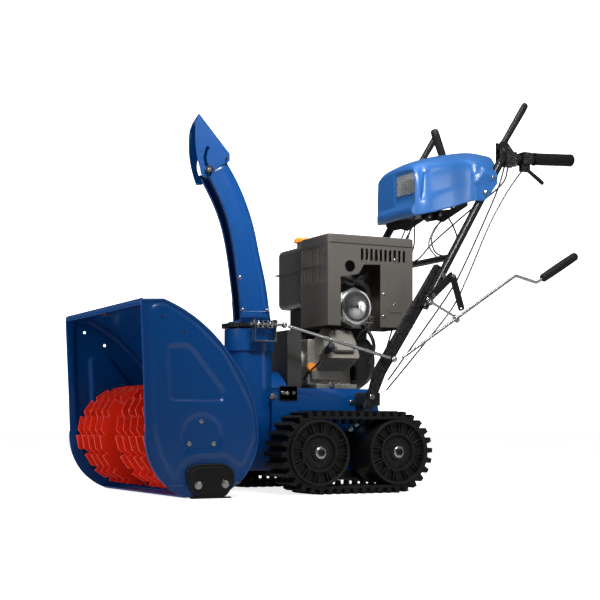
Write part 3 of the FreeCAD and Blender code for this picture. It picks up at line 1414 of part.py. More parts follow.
def clutch_levers():
    bar = block("lever_bar", ("-lever_half", "lever_half"), ("-lever_half", "lever_half"), ("0", "lever_length"))
    eye = rod("lever_eye_round", "x", ("-lever_half", "0", "0"), "lever_eye", "lever_half * 2")
    hole = rod("lever_hole", "x", ("-20", "0", "0"), "lever_pin + running_gap", "40")
    lever = posed(carve("lever", fuse("lever_forged", bar, eye), hole), ("high_tube_x", "lever_y", "lever_z"),
                  d.lever_lean)
    both_sides("clutch_lever", lever)
    ears = []
    for i, x in enumerate(("high_tube_x - ear_gap - ear_sheet", "high_tube_x + ear_gap")):
        ears.append(slab(f"lever_ear_{i}", "x", [
            ("lever_y - 14", "lever_z + 12"), ("lever_y - 14", "lever_z - 50"), ("lever_y + 44", "lever_z - 60"),
            ("lever_y + 44", "lever_z - 22"), ("lever_y + 14", "lever_z + 12"),
        ], x, "ear_sheet", [("lever_y", "lever_z", "lever_pin + 0.1")]))
    saddle = block("lever_saddle", ("high_tube_x - ear_gap - ear_sheet - 7", "high_tube_x + ear_gap + ear_sheet + 7"),
                   ("lever_y + 6", "lever_y + 44"), ("lever_z - 58", "lever_z - 16"))
    add("lever_brackets", *pair(carve("lever_clamp", fuse("lever_seat", saddle, *ears), tube_room("lever_tube_room"))))
    pin = rod("lever_pin_bar", "x", ("high_tube_x - ear_gap - ear_sheet - 3", "lever_y", "lever_z"), "lever_pin",
              "(ear_gap + ear_sheet + 3) * 2")
    add("lever_brackets", *pair(pin))


def triggers():
    bar = block("trigger_bar", ("-4", "4"), ("-5", "5"), ("0", "trigger_length"))
    eye = rod("trigger_eye", "x", ("-4", "0", "0"), "8", "8")
    hole = rod("trigger_hole", "x", ("-20", "0", "0"), "3.05", "40")
    trigger = posed(carve("trigger", fuse("trigger_forged", bar, eye), hole), ("high_tube_x", "trigger_y", "trigger_z"),
                    d.trigger_lean)
    both_sides("steering_trigger", trigger)
    ears = []
    for i, x in enumerate(("high_tube_x - 8", "high_tube_x + 5")):
        ears.append(block(f"trigger_ear_{i}", (x, f"{x} + 3"), ("trigger_y - 22", "trigger_y + 9"),
                          ("trigger_z - 9", "trigger_z + 22")))
    saddle = block("trigger_saddle", ("high_tube_x - 18", "high_tube_x + 18"), ("trigger_y - 22", "trigger_y + 8"),
                   ("trigger_z + 11", "trigger_z + 48"))
    pin_room = rod("trigger_pin_room", "x", ("200", "trigger_y", "trigger_z"), "3.1", "100")
    add("lever_brackets", *pair(carve("trigger_clamp", fuse("trigger_seat", saddle, *ears),
                                       tube_room("trigger_tube_room"), pin_room)))
    add("lever_brackets", *pair(rod("trigger_pin_bar", "x", ("high_tube_x - 11", "trigger_y", "trigger_z"), "3", "22")))


def console():
    sections = []
    for grow in (0, 1):
        faces = []
        for i, (y, half, low, shoulder, high) in enumerate((
                ("console_front", 116, 838, 981, 988), ("console_front + 52", 142, 849, 978, 1021),
                ("console_front + 118", 252, 866, 982, 1043), ("console_back", 271, 880, 966, 1055))):
            inset = f"console_wall * {grow}"
            shift = {0: 1, 3: -1}.get(i, 0) * grow
            sketch = doc.addObject("Sketcher::SketchObject", f"console_section_{grow}_{i}")
            sketch.Placement = Placement(Vector(0, 0, 0), Rotation(Vector(1, 0, 0), 90))
            draw_outline(sketch, [
                (f"{inset} - {half}", f"{low} + {inset}"), (f"{half} - {inset}", f"{low} + {inset}"),
                (f"{half} - {inset}", f"{shoulder} - {inset}"), (f"{half} * 0.45", f"{high} - {inset}"),
                (f"-{half} * 0.45", f"{high} - {inset}"), (f"{inset} - {half}", f"{shoulder} - {inset}"),
            ])
            bind(sketch, "Placement.Base.y", f"({y}) + console_wall * {shift}")
            faces.append(sketch)
        loft = doc.addObject("Part::Loft", f"console_loft_{grow}")
        loft.Sections = faces
        loft.Solid = True
        loft.Ruled = True
        sections.append(loft)
    lamp = block("lamp_window", ("lamp_x0", "lamp_x1"), ("console_front - 20", "console_front + 30"), ("lamp_z0", "lamp_z1"))
    slot = block("shift_slot", ("-9", "9"), ("shift_y - 62", "shift_y + 30"), ("shift_z + 20", "shift_z + 70"))
    notch = block("shift_notch", ("-24", "24"), ("console_back - 10", "console_back + 5"), ("shift_z - 36", "shift_z + 70"))
    under = block("console_under", ("-95", "95"), ("console_front + 20", "console_back - 20"), ("700", "910"))
    handle_room = tube_room("console_tube_room", 3)
    add("console", carve("console_shell", sections[0], sections[1], lamp, slot, notch, under, *pair(handle_room)))
    bowl = block("lamp_outside", ("lamp_x0 + 0.5", "lamp_x1 - 0.5"), ("console_front + 4", "console_front + 46"),
                 ("lamp_z0 + 0.5", "lamp_z1 - 0.5"))
    dish = block("lamp_inside", ("lamp_x0 + 4", "lamp_x1 - 4"), ("console_front + 3", "console_front + 40"),
                 ("lamp_z0 + 4", "lamp_z1 - 4"))
    add("lamp_reflector", carve("lamp_bowl", bowl, dish))
    add("lamp_lens", block("lamp_glass", ("lamp_x0 + 0.5", "lamp_x1 - 0.5"), ("console_front + 0.5", "console_front + 3.9"),
                            ("lamp_z0 + 0.5", "lamp_z1 - 0.5")))
    base = block("shift_base_block", ("-20", "20"), ("shift_y - 20", "shift_y + 12"), ("shift_z - 30", "shift_z - 12"))
    ears = [block(f"shift_ear_{i}", (x, f"{x} + 4"), ("shift_y - 10", "shift_y + 10"), ("shift_z - 20", "shift_z + 10"))
            for i, x in enumerate(("-12", "8"))]
    shift_room = rod("shift_pin_room", "x", ("-30", "shift_y", "shift_z"), "4.1", "60")
    add("lever_brackets", carve("shift_seat_drilled", fuse("shift_seat", base, *ears), shift_room))
    add("lever_brackets", rod("shift_pin_bar", "x", ("-14", "shift_y", "shift_z"), "4", "28"))
    stem = rod("shift_stem", "z", ("0", "0", "0"), "6", "shift_length")
    eye = rod("shift_eye", "x", ("-7", "0", "0"), "9", "14")
    knob = doc.addObject("Part::Sphere", "shift_ball")
    bind(knob, "Radius", "shift_knob")
    place(knob, ("0", "0", "shift_length"))
    hole = rod("shift_hole", "x", ("-20", "0", "0"), "4.05", "40")
    lever = posed(carve("shifter", fuse("shift_forged", stem, eye, knob), hole), ("0", "shift_y", "shift_z"),
                  -d.shift_lean)
    add("shift_lever", lever)


def build():
    auger_housing()
    skid_shoes()
    augers()
    gearbox()
    impeller_drum()
    chute_base()
    chute_tube()
    chute_hood()
    chute_crank()
    crank_handle()
    track_belts()
    track_wheel("idler_wheel", "wheel_front_y", False)
    track_wheel("drive_wheel", "wheel_back_y", True)
    axles()
    track_frames()
    tractor_frame()
    drive()
    belts()
    engine()
    engine_cover()
    fuel()
    handles()
    clutch_levers()
    triggers()
    console()
    control_cables()


def check_document():
    doc.recompute()
    for thing in doc.Objects:
        if "Invalid" in thing.State or "Error" in thing.State:
            raise RuntimeError(f"{thing.Name} failed: {thing.State}")
    for label, piece in pieces.items():
        if piece.Shape.isNull() or not piece.Shape.isValid() or not piece.Shape.Solids:
            raise RuntimeError(f"{label} has no valid solid")


def write_pieces():
    os.makedirs("parts", exist_ok=True)
    for label, piece in pieces.items():
        piece.Shape.exportStep(f"parts/{label}.step")
        print(label, len(piece.Shape.Solids), round(piece.Shape.Volume))


build()
make_nodes()
check_document()
write_pieces()
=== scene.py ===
import json
import math

import bpy
import numpy as np
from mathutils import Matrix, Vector
from mathutils.geometry import delaunay_2d_cdt


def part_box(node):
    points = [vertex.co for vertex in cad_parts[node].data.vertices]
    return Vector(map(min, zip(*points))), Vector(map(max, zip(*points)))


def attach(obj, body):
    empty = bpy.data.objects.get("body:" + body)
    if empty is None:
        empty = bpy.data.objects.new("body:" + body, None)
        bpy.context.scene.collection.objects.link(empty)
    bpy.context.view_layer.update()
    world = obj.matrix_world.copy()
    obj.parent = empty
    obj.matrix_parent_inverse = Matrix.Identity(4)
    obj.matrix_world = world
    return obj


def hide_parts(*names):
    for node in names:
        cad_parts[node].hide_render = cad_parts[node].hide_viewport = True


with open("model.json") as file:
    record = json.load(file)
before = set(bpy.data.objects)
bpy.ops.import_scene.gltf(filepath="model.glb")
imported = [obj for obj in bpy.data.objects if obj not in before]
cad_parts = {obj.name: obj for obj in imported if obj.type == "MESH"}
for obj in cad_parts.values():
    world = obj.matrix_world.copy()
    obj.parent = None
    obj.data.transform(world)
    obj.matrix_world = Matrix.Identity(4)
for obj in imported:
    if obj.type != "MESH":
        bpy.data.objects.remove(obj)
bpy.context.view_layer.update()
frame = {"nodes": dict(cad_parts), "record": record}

MM = 0.001
AUGER_LOW, AUGER_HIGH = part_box("auger_shaft")
AUGER_Y = (AUGER_LOW.y + AUGER_HIGH.y) / 2


# ---------------------------------------------------------------- places and outlines

def at(point):
    """A place in millimetres, with y counted from the auger's axis, in the frame's metres."""
    x, y, z = point
    return (x * MM, y * MM + AUGER_Y, z * MM)


def span(node):
    """The lowest and highest corner of a CAD node in the script's millimetres."""
    low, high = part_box(node)
    shift = Vector((0, AUGER_Y, 0))
    return (np.array(low - shift) / MM, np.array(high - shift) / MM)


def mesh_points(node):
    """The corners of a CAD node in the script's millimetres."""
    mesh = frame["nodes"][node].data
    points = np.zeros(len(mesh.vertices) * 3)
    mesh.vertices.foreach_get("co", points)
    return (points.reshape(-1, 3) - (0, AUGER_Y, 0)) / MM


def face_loops(node, axis, level, side=1, near=0.3):
    """The closed outlines of the flat faces of a CAD node that lie at one level across an axis."""
    points = mesh_points(node)
    places = {}
    edges = {}
    keys = [tuple(np.round(p, 2)) for p in points]
    for face in frame["nodes"][node].data.polygons:
        corners = [keys[v] for v in face.vertices]
        if max(abs(c[axis] - level) for c in corners) > near:
            continue
        if face.normal[axis] * side < 0.9:
            continue
        for a, b in zip(corners, corners[1:] + corners[:1]):
            if edges.get((b, a)):
                del edges[(b, a)]
            else:
                edges[(a, b)] = True
    follow = {a: b for a, b in edges}
    loops = []
    while follow:
        start, step = next(iter(follow.items()))
        loop = [start]
        del follow[start]
        while step != start and step in follow:
            loop.append(step)
            step = follow.pop(step)
        others = [i for i in range(3) if i != axis]
        loops.append(np.array([[p[i] for i in others] for p in loop]))
    return sorted(loops, key=lambda loop: -abs(area(loop)))


def area(loop):
    x, y = loop[:, 0], loop[:, 1]
    return 0.5 * float(np.sum(x * np.roll(y, -1) - y * np.roll(x, -1)))


def rounded(points, radius, steps=5):
    """A closed outline with each corner rounded."""
    points = [np.array(p, float) for p in points]
    out = []
    for i, corner in enumerate(points):
        before, after = points[i - 1], points[(i + 1) % len(points)]
        to_a, to_b = before - corner, after - corner
        cut = min(radius, np.hypot(*to_a) * 0.45, np.hypot(*to_b) * 0.45)
        a = corner + to_a / np.hypot(*to_a) * cut
        b = corner + to_b / np.hypot(*to_b) * cut
        for t in np.linspace(0, 1, steps + 1):
            out.append(a * (1 - t) ** 2 + corner * 2 * t * (1 - t) + b * t * t)
    return np.array(out)


def smooth(points, steps=6, closed=False):
    """A curve through points, with extra points between them."""
    p = np.array(points, float)
    if closed:
        p = np.vstack([p[-1], p, p[:2]])
    else:
        p = np.vstack([2 * p[0] - p[1], p, 2 * p[-1] - p[-2]])
    out = []
    for i in range(1, len(p) - 2):
        for t in np.arange(steps) / steps:
            out.append(0.5 * (2 * p[i] + (p[i + 1] - p[i - 1]) * t
                              + (2 * p[i - 1] - 5 * p[i] + 4 * p[i + 1] - p[i + 2]) * t * t
                              + (3 * p[i] - p[i - 1] - 3 * p[i + 1] + p[i + 2]) * t ** 3))
    if not closed:
        out.append(p[-2])
    return np.array(out)


def circle(y, z, radius, steps=24):
    """A closed round outline."""
    angles = np.arange(steps) * 2 * math.pi / steps
    return np.stack([y + radius * np.cos(angles), z + radius * np.sin(angles)], 1)


def resampled(loop, gap):
    """The same closed outline with points no further apart than gap."""
    out = []
    for a, b in zip(loop, np.roll(loop, -1, 0)):
        count = max(1, int(math.ceil(np.hypot(*(b - a)) / gap)))
        out += [a + (b - a) * i / count for i in range(count)]
    return np.array(out)


def inside(points, loops):
    """Which points lie inside an odd number of closed outlines."""
    hit = np.zeros(len(points), bool)
    for loop in loops:
        for (ax, ay), (bx, by) in zip(loop, np.roll(loop, -1, 0)):
            if ay == by:
                continue
            crosses = (ay > points[:, 1]) != (by > points[:, 1])
            at_x = ax + (points[:, 1] - ay) * (bx - ax) / (by - ay)
            hit ^= crosses & (points[:, 0] < at_x)
    return hit


def depth_in(points, loop):
    """How far each point lies inside a closed outline; negative outside."""
    best = np.full(len(points), 1e9)
    for a, b in zip(loop, np.roll(loop, -1, 0)):
        way = b - a
        t = np.clip(((points - a) @ way) / max(way @ way, 1e-9), 0, 1)
        best = np.minimum(best, np.hypot(*(points - a - t[:, None] * way).T))
    return np.where(inside(points, [loop]), best, -best)


# ---------------------------------------------------------------- solids as points and faces

def join(*shapes):
    points, faces = [], []
    count = 0
    for p, f in shapes:
        points.append(np.asarray(p, float))
        faces += [tuple(i + count for i in face) for face in f]
        count += len(p)
    return np.vstack(points), faces


def mirrored(shape):
    return shape[0] * (-1, 1, 1), [face[::-1] for face in shape[1]]


def lay(axis, level, flat):
    """Outline points set at one level across an axis."""
    flat = np.asarray(flat, float)
    out = np.zeros((len(flat), 3))
    others = [i for i in range(3) if i != axis]
    out[:, axis] = level
    out[:, others[0]] = flat[:, 0]
    out[:, others[1]] = flat[:, 1]
    return out


def prism(axis, low, high, outline):
    """An outline drawn out between two levels of an axis."""
    flat = np.asarray(outline, float)
    if (area(flat) > 0) == (axis == 1):
        flat = flat[::-1]
    count = len(flat)
    points = np.vstack([lay(axis, low, flat), lay(axis, high, flat)])
    faces = [tuple(range(count))[::-1], tuple(range(count, 2 * count))]
    for i in range(count):
        j = (i + 1) % count
        faces.append((i, j, j + count, i + count))
    return points, faces


def slab(low, high):
    """A block between two corners."""
    face = [(low[1], low[2]), (high[1], low[2]), (high[1], high[2]), (low[1], high[2])]
    return prism(0, low[0], high[0], face)


def framed(path, closed):
    """A pair of cross directions that turn as little as possible along a path."""
    count = len(path)
    ways = np.roll(path, -1, 0) - np.roll(path, 1, 0) if closed else np.gradient(path, axis=0)
    ways = ways / np.linalg.norm(ways, axis=1)[:, None]
    side = np.cross(ways[0], (0.31, 0.17, 0.93))
    side = side / np.linalg.norm(side)
    sides = []
    for i in range(count):
        side = side - ways[i] * (side @ ways[i])
        side = side / np.linalg.norm(side)
        sides.append(side)
    sides = np.array(sides)
    return sides, np.cross(ways, sides)


def tube(path, radius, sides=12, closed=False):
    """A round bar along a path; radius is one size or one for each point."""
    path = np.array(path, float)
    a, b = framed(path, closed)
    radii = np.broadcast_to(np.asarray(radius, float), (len(path),))
    points = []
    for i, centre in enumerate(path):
        for k in range(sides):
            angle = 2 * math.pi * k / sides
            points.append(centre + radii[i] * (a[i] * math.cos(angle) + b[i] * math.sin(angle)))
    faces = []
    rings = len(path)
    for i in range(rings if closed else rings - 1):
        j = (i + 1) % rings
        for k in range(sides):
            n = (k + 1) % sides
            faces.append((i * sides + k, i * sides + n, j * sides + n, j * sides + k))
    if not closed:
        faces.append(tuple(range(sides))[::-1])
        faces.append(tuple((rings - 1) * sides + k for k in range(sides)))
    return np.array(points), faces


def turned(axis, centre, profile, sides=32):
    """A round body: profile is (radius, distance along the axis) from one end to the other."""
    centre = np.array(centre, float)
    others = [(axis + 1) % 3, (axis + 2) % 3]
    points = []
    for radius, along in profile:
        for k in range(sides):
            angle = 2 * math.pi * k / sides
            p = centre.copy()
            p[axis] += along
            p[others[0]] += radius * math.cos(angle)
            p[others[1]] += radius * math.sin(angle)
            points.append(p)
    faces = []
    for i in range(len(profile) - 1):
        for k in range(sides):
            n = (k + 1) % sides
            faces.append((i * sides + k, i * sides + n, (i + 1) * sides + n, (i + 1) * sides + k))
    faces.append(tuple(range(sides))[::-1])
    faces.append(tuple((len(profile) - 1) * sides + k for k in range(sides)))
    return np.array(points), faces


def bolt_head(axis, centre, across, height, sides=6, washer=1.45):
    """A hexagon head on a washer, facing along the axis."""
    half = across / 2
    corner = half * 1.15
    rim = half * washer
    head = turned(axis, centre, [(corner, 1.2), (corner, height * 0.8), (half * 0.9, height)], 6)
    ring = turned(axis, centre, [(rim, 0), (rim, 1.0), (rim - 0.5, 1.5)], 20)
    return join(head, ring)


def stamped(outlines, gap, height, creases=()):
    """A flat sheet cut to outlines (the first is the outside), with a relief pressed into it."""
    outlines = [resampled(loop, gap) for loop in outlines]
    low, high = outlines[0].min(0), outlines[0].max(0)
    columns, rows = [np.arange(low[i] + gap, high[i], gap) for i in (0, 1)]
    grid = np.stack(np.meshgrid(columns, rows), -1).reshape(-1, 2)
    grid = grid[inside(grid, outlines)]
    keep = np.ones(len(grid), bool)
    lines = outlines + [resampled(loop, gap) for loop in creases]
    for loop in lines:
        for start in range(0, len(loop), 64):
            near = np.hypot(*(grid[:, None] - loop[None, start:start + 64]).transpose(2, 0, 1)).min(1)
            keep &= near > gap * 0.55
    grid = grid[keep]
    points, edges = list(grid), []
    for loop in lines:
        first = len(points)
        points += list(loop)
        edges += [(first + i, first + (i + 1) % len(loop)) for i in range(len(loop))]
    found = delaunay_2d_cdt([Vector(p) for p in points], edges, [], 0, 1e-4)
    flat = np.array([tuple(v) for v in found[0]])
    faces = [tuple(f) for f in found[2]]
    middles = np.array([flat[list(f)].mean(0) for f in faces])
    good = inside(middles, outlines)
    faces = [f for f, ok in zip(faces, good) if ok]
    return flat, faces, height(flat)


def thick_sheet(flat, faces, heights, axis, level, side, gauge):
    """A stamped sheet stood up at a level across an axis and given its thickness."""
    count = len(flat)
    outer = lay(axis, level, flat)
    outer[:, axis] += heights * side
    inner = outer.copy()
    inner[:, axis] -= gauge * side
    edges = {}
    for face in faces:
        for a, b in zip(face, face[1:] + face[:1]):
            if (b, a) in edges:
                del edges[(b, a)]
            else:
                edges[(a, b)] = True
    front = list(faces)
    back = [tuple(i + count for i in face[::-1]) for face in faces]
    rim = [(b, a, a + count, b + count) for a, b in edges]
    every = front + back + rim
    if (side > 0) == (axis == 1):
        every = [face[::-1] for face in every]
    return np.vstack([outer, inner]), every


# ---------------------------------------------------------------- materials

MATERIALS = {}


def link(tree, source, target):
    tree.links.new(source, target)


def new_node(tree, kind, **values):
    made = tree.nodes.new(kind)
    for name, value in values.items():
        if name in made.inputs:
            made.inputs[name].default_value = value
        else:
            setattr(made, name, value)
    return made


def mixed(tree, factor, a, b):
    mix = tree.nodes.new("ShaderNodeMix")
    mix.data_type = "RGBA"
    for socket, value in ((mix.inputs["Factor"], factor), (mix.inputs["A"], a), (mix.inputs["B"], b)):
        if isinstance(value, bpy.types.NodeSocket):
            link(tree, value, socket)
        elif isinstance(value, tuple):
            socket.default_value = value + (1,)
        else:
            socket.default_value = value
    return mix.outputs["Result"]


def ramp(tree, value, low, high, a=0.0, b=1.0):
    made = new_node(tree, "ShaderNodeMapRange")
    made.inputs["From Min"].default_value = low
    made.inputs["From Max"].default_value = high
    made.inputs["To Min"].default_value = a
    made.inputs["To Max"].default_value = b
    link(tree, value, made.inputs["Value"])
    return made.outputs["Result"]


def noise(tree, place, scale, detail=3.0, stretch=(1, 1, 1)):
    mapping = new_node(tree, "ShaderNodeMapping")
    mapping.inputs["Scale"].default_value = stretch
    link(tree, place, mapping.inputs["Vector"])
    made = new_node(tree, "ShaderNodeTexNoise", Scale=scale, Detail=detail)
    link(tree, mapping.outputs["Vector"], made.inputs["Vector"])
    return made.outputs["Fac"]


def material(name, colour, rough, metallic=0.0, grain=0.1, grain_scale=900.0, tint=0.10, worn=None, wear=0.0,
             dust=0.0, coat=0.0, streak=(1, 1, 1), specular=0.5, gloss_drift=0.05):
    """A procedural finish: drifting tint and gloss, fine surface grain, worn edges and settled dust."""
    made = bpy.data.materials.new(name)
    made.use_nodes = True
    tree = made.node_tree
    shader = tree.nodes["Principled BSDF"]
    place = new_node(tree, "ShaderNodeTexCoord").outputs["Object"]
    drift = noise(tree, place, 9.0, 4.0, streak)
    darker = tuple(c * (1 - tint) for c in colour)
    lighter = tuple(min(1.0, c * (1 + tint)) for c in colour)
    shade = mixed(tree, ramp(tree, drift, 0.3, 0.7), darker, lighter)
    geometry = new_node(tree, "ShaderNodeNewGeometry")
    if wear:
        chips = noise(tree, place, 160.0, 5.0)
        edge = ramp(tree, geometry.outputs["Pointiness"], 0.54, 0.62)
        product = new_node(tree, "ShaderNodeMath", operation="MULTIPLY")
        link(tree, edge, product.inputs[0])
        link(tree, ramp(tree, chips, 0.52, 0.62, 0.0, wear), product.inputs[1])
        shade = mixed(tree, product.outputs["Value"], shade, worn)
    if dust:
        split = new_node(tree, "ShaderNodeSeparateXYZ")
        link(tree, geometry.outputs["Normal"], split.inputs["Vector"])
        cover = new_node(tree, "ShaderNodeMath", operation="MULTIPLY")
        link(tree, ramp(tree, split.outputs["Z"], 0.35, 1.0), cover.inputs[0])
        link(tree, ramp(tree, noise(tree, place, 30.0, 5.0), 0.4, 0.75, 0.0, dust), cover.inputs[1])
        shade = mixed(tree, cover.outputs["Value"], shade, (0.42, 0.41, 0.38))
    link(tree, shade, shader.inputs["Base Color"])
    polish = noise(tree, place, 24.0, 5.0, streak)
    gloss = ramp(tree, polish, 0.25, 0.75, rough - gloss_drift, rough + gloss_drift)
    link(tree, gloss, shader.inputs["Roughness"])
    bump = new_node(tree, "ShaderNodeBump", Strength=grain)
    bump.inputs["Distance"].default_value = 0.0004
    link(tree, noise(tree, place, grain_scale, 2.0, streak), bump.inputs["Height"])
    link(tree, bump.outputs["Normal"], shader.inputs["Normal"])
    shader.inputs["Metallic"].default_value = metallic
    shader.inputs["Coat Weight"].default_value = coat
    shader.inputs["Coat Roughness"].default_value = 0.08
    shader.inputs["Specular IOR Level"].default_value = specular
    MATERIALS[name] = made
    return made


BARE = (0.42, 0.42, 0.43)
RUBBED = (0.8, 0.8, 0.8)
GREYED = (0.2, 0.2, 0.2)


def make_materials():
    material("blue_paint", (0.000, 0.052, 0.215), 0.26, grain=0.02, grain_scale=300, tint=0.03,
             gloss_drift=0.015, specular=0.45)
    material("red_paint", (0.95, 0.034, 0.010), 0.36, grain=0.06, grain_scale=420, tint=0.05,
             worn=BARE, wear=0.3, specular=0.3)
    material("black_paint", (0.008, 0.008, 0.009), 0.32, grain=0.10, tint=0.15,
             worn=GREYED, wear=0.35, specular=0.25)
    material("zinc", (0.44, 0.44, 0.43), 0.24, 1.0, grain=0.02, tint=0.08, worn=RUBBED, wear=0.3)
    material("steel", (0.48, 0.48, 0.49), 0.32, 1.0, grain=0.15, tint=0.12, streak=(1, 6, 1),
             worn=RUBBED, wear=0.3)
    material("cast_aluminium", (0.30, 0.28, 0.25), 0.46, 0.7, grain=0.5, grain_scale=260, tint=0.14,
             worn=(0.7, 0.7, 0.68), wear=0.5)
    material("cast_iron", (0.16, 0.16, 0.165), 0.55, 0.8, grain=0.6, grain_scale=240, tint=0.2)
    material("track_rubber", (0.010, 0.010, 0.010), 0.55, grain=0.45, grain_scale=300, tint=0.2,
             dust=0.02, specular=0.18)
    material("grip_rubber", (0.008, 0.008, 0.008), 0.5, grain=0.4, grain_scale=700, tint=0.15, specular=0.18)
    material("belt_rubber", (0.012, 0.012, 0.012), 0.45, grain=0.2, tint=0.2)
    material("wheel_plastic", (0.014, 0.013, 0.012), 0.40, grain=0.25, grain_scale=420, tint=0.15,
             dust=0.02, specular=0.2)
    material("black_plastic", (0.010, 0.010, 0.011), 0.42, grain=0.2, grain_scale=620, tint=0.15,
             specular=0.2)
    material("grey_plastic", (0.070, 0.063, 0.056), 0.48, grain=0.35, grain_scale=700, tint=0.08,
             worn=(0.2, 0.19, 0.18), wear=0.2)
    material("dark_grey_plastic", (0.030, 0.029, 0.028), 0.46, grain=0.3, grain_scale=600, tint=0.12)
    material("console_plastic", (0.014, 0.098, 0.31), 0.36, grain=0.03, grain_scale=400, tint=0.04,
             gloss_drift=0.02)
    material("orange_plastic", (0.78, 0.27, 0.02), 0.35, grain=0.1, tint=0.08)
    material("lamp_chrome", (0.80, 0.80, 0.80), 0.10, 1.0, grain=0.03, tint=0.04)
    glass = material("lamp_glass", (0.9, 0.92, 0.95), 0.06, grain=0.05, tint=0.02)
    glass_shader = glass.node_tree.nodes["Principled BSDF"]
    glass_shader.inputs["Transmission Weight"].default_value = 0.92
    glass_shader.inputs["IOR"].default_value = 1.25
    material("muffler_chrome", (0.86, 0.86, 0.86), 0.12, 1.0, grain=0.06, tint=0.06, streak=(1, 5, 1))


# ---------------------------------------------------------------- making and dressing pieces

def soften(thing, bevel, weld=True):
    """Rounds the edges of a piece and keeps its flat faces flat."""
    if weld:
        near = thing.modifiers.new("weld", "WELD")
        near.merge_threshold = 0.00001
        merge = thing.modifiers.new("flats", "DECIMATE")
        merge.decimate_type = "DISSOLVE"
        merge.angle_limit = math.radians(0.5)
    if bevel:
        edge = thing.modifiers.new("bevel", "BEVEL")
        edge.width = bevel * MM
        edge.segments = 2
        edge.limit_method = "ANGLE"
        edge.angle_limit = math.radians(32)
        edge.harden_normals = False
    flat = thing.modifiers.new("flat", "WEIGHTED_NORMAL")
    flat.keep_sharp = True


def piece(name, shape, body, slot, stands_for=(), bevel=0.0, sharp=34, look=None):
    """One visual piece that rides on a CAD body."""
    points, faces = shape
    mesh = bpy.data.meshes.new(name)
    mesh.from_pydata([at(p) for p in points], [], faces)
    mesh.validate()
    mesh.shade_smooth()
    mesh.set_sharp_from_angle(angle=math.radians(sharp))
    thing = bpy.data.objects.new(name, mesh)
    bpy.context.scene.collection.objects.link(thing)
    mesh.materials.append(MATERIALS[look or slot])
    if bevel:
        soften(thing, bevel, weld=False)
    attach(thing, body)
    if stands_for:
        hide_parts(*stands_for)
    return thing


NODE_SLOTS = {row["node"]: row["material_slot"] for row in frame["record"]["subparts"]}
THIN = {"control_cables": 0.0, "lamp_lens": 0.3, "auger_flights": 0.5, "housing_shell": 0.6, "hex_bolts": 0.4,
        "chute_hood": 0.5, "engine_cover": 1.2, "chute_gear": 0.4, "chute_worm": 0.3, "track_belts": 1.6,
        "engine_block": 1.4, "fuel_tank": 1.0, "impeller": 0.6, "recoil_housing": 2.0, "worm_wheel": 0.4}


def dress_cad():
    """Gives every CAD node its finish, rounded edges and smooth round faces."""
    for node, thing in frame["nodes"].items():
        mesh = thing.data
        if "custom_normal" in mesh.attributes:
            mesh.attributes.remove(mesh.attributes["custom_normal"])
        mesh.materials.clear()
        mesh.materials.append(MATERIALS[NODE_SLOTS[node]])
        mesh.shade_smooth()
        soften(thing, THIN.get(node, 0.9))
        smooth_by_angle(thing)


def smooth_by_angle(thing):
    """Keeps faces that meet at a real corner apart in the shading."""
    split = thing.modifiers.new("corners", "EDGE_SPLIT")
    split.split_angle = math.radians(38)
    split.use_edge_sharp = False


# ---------------------------------------------------------------- auger housing

# The cheek plate's pressed relief: its raised field, the sunk window and the sunk bearing seat
FIELD = rounded([(-143, 506), (-141, 373), (-133, 186), (-113, 111), (-74, 50), (-60, 84), (-37, 103),
                 (-8, 114), (75, 115), (116, 80), (157, 166), (148, 240), (66, 386), (-16, 463),
                 (-101, 514)], 20)
WINDOW = rounded([(-95, 403), (-33, 404), (66, 283), (60, 260), (-89, 260)], 14)
BEARING = np.array([(-50, 125)] + [(58 * math.cos(a), 165 + 58 * math.sin(a))
                                   for a in np.linspace(math.radians(218), math.radians(-38), 40)])


def ease(depth, half):
    """0 outside a crease, 1 inside it, with a smooth step as wide as twice half."""
    t = np.clip((depth + half) / (2 * half), 0, 1)
    return t * t * (3 - 2 * t)


def skids():
    """The two skids, their bolts and the three bolts of each auger bearing."""
    outline = rounded([(-45, 77), (-20, 92), (64, 92), (89, 75), (93, 40), (66, 3), (-16, 3), (-42, 35)], 12)
    foot = slab((330, -34, 0), (343, 82, 4.5))
    boss = rounded([(-36, 72), (-16, 84), (60, 84), (80, 70), (84, 42), (62, 12), (-12, 12), (-34, 38)], 12)
    shoe = join(prism(0, 330, 341, outline), foot, prism(0, 339, 343.5, boss))
    heads = join(bolt_head(0, (343.5, -14, 36), 15, 8), bolt_head(0, (343.5, 63, 38), 15, 8))
    caps = join(*[bolt_head(0, (327.5, y, z), 12, 7) for y, z in ((0, 205), (-35, 145), (35, 145))])
    piece("skid_left", shoe, "machine", "black_paint", ("skid_shoes",), bevel=2.2)
    piece("skid_right", mirrored(shoe), "machine", "black_paint", bevel=2.2)
    piece("skid_bolts", join(heads, mirrored(heads), caps, mirrored(caps)), "machine", "zinc", bevel=0.4)


def plate_relief(flat):
    """How far the cheek plate is pressed out at each point."""
    return (ease(depth_in(flat, FIELD), 3.5) * 4.0
            - ease(depth_in(flat, WINDOW), 4.5) * 6.0
            - ease(depth_in(flat, BEARING), 3.5) * 3.0)


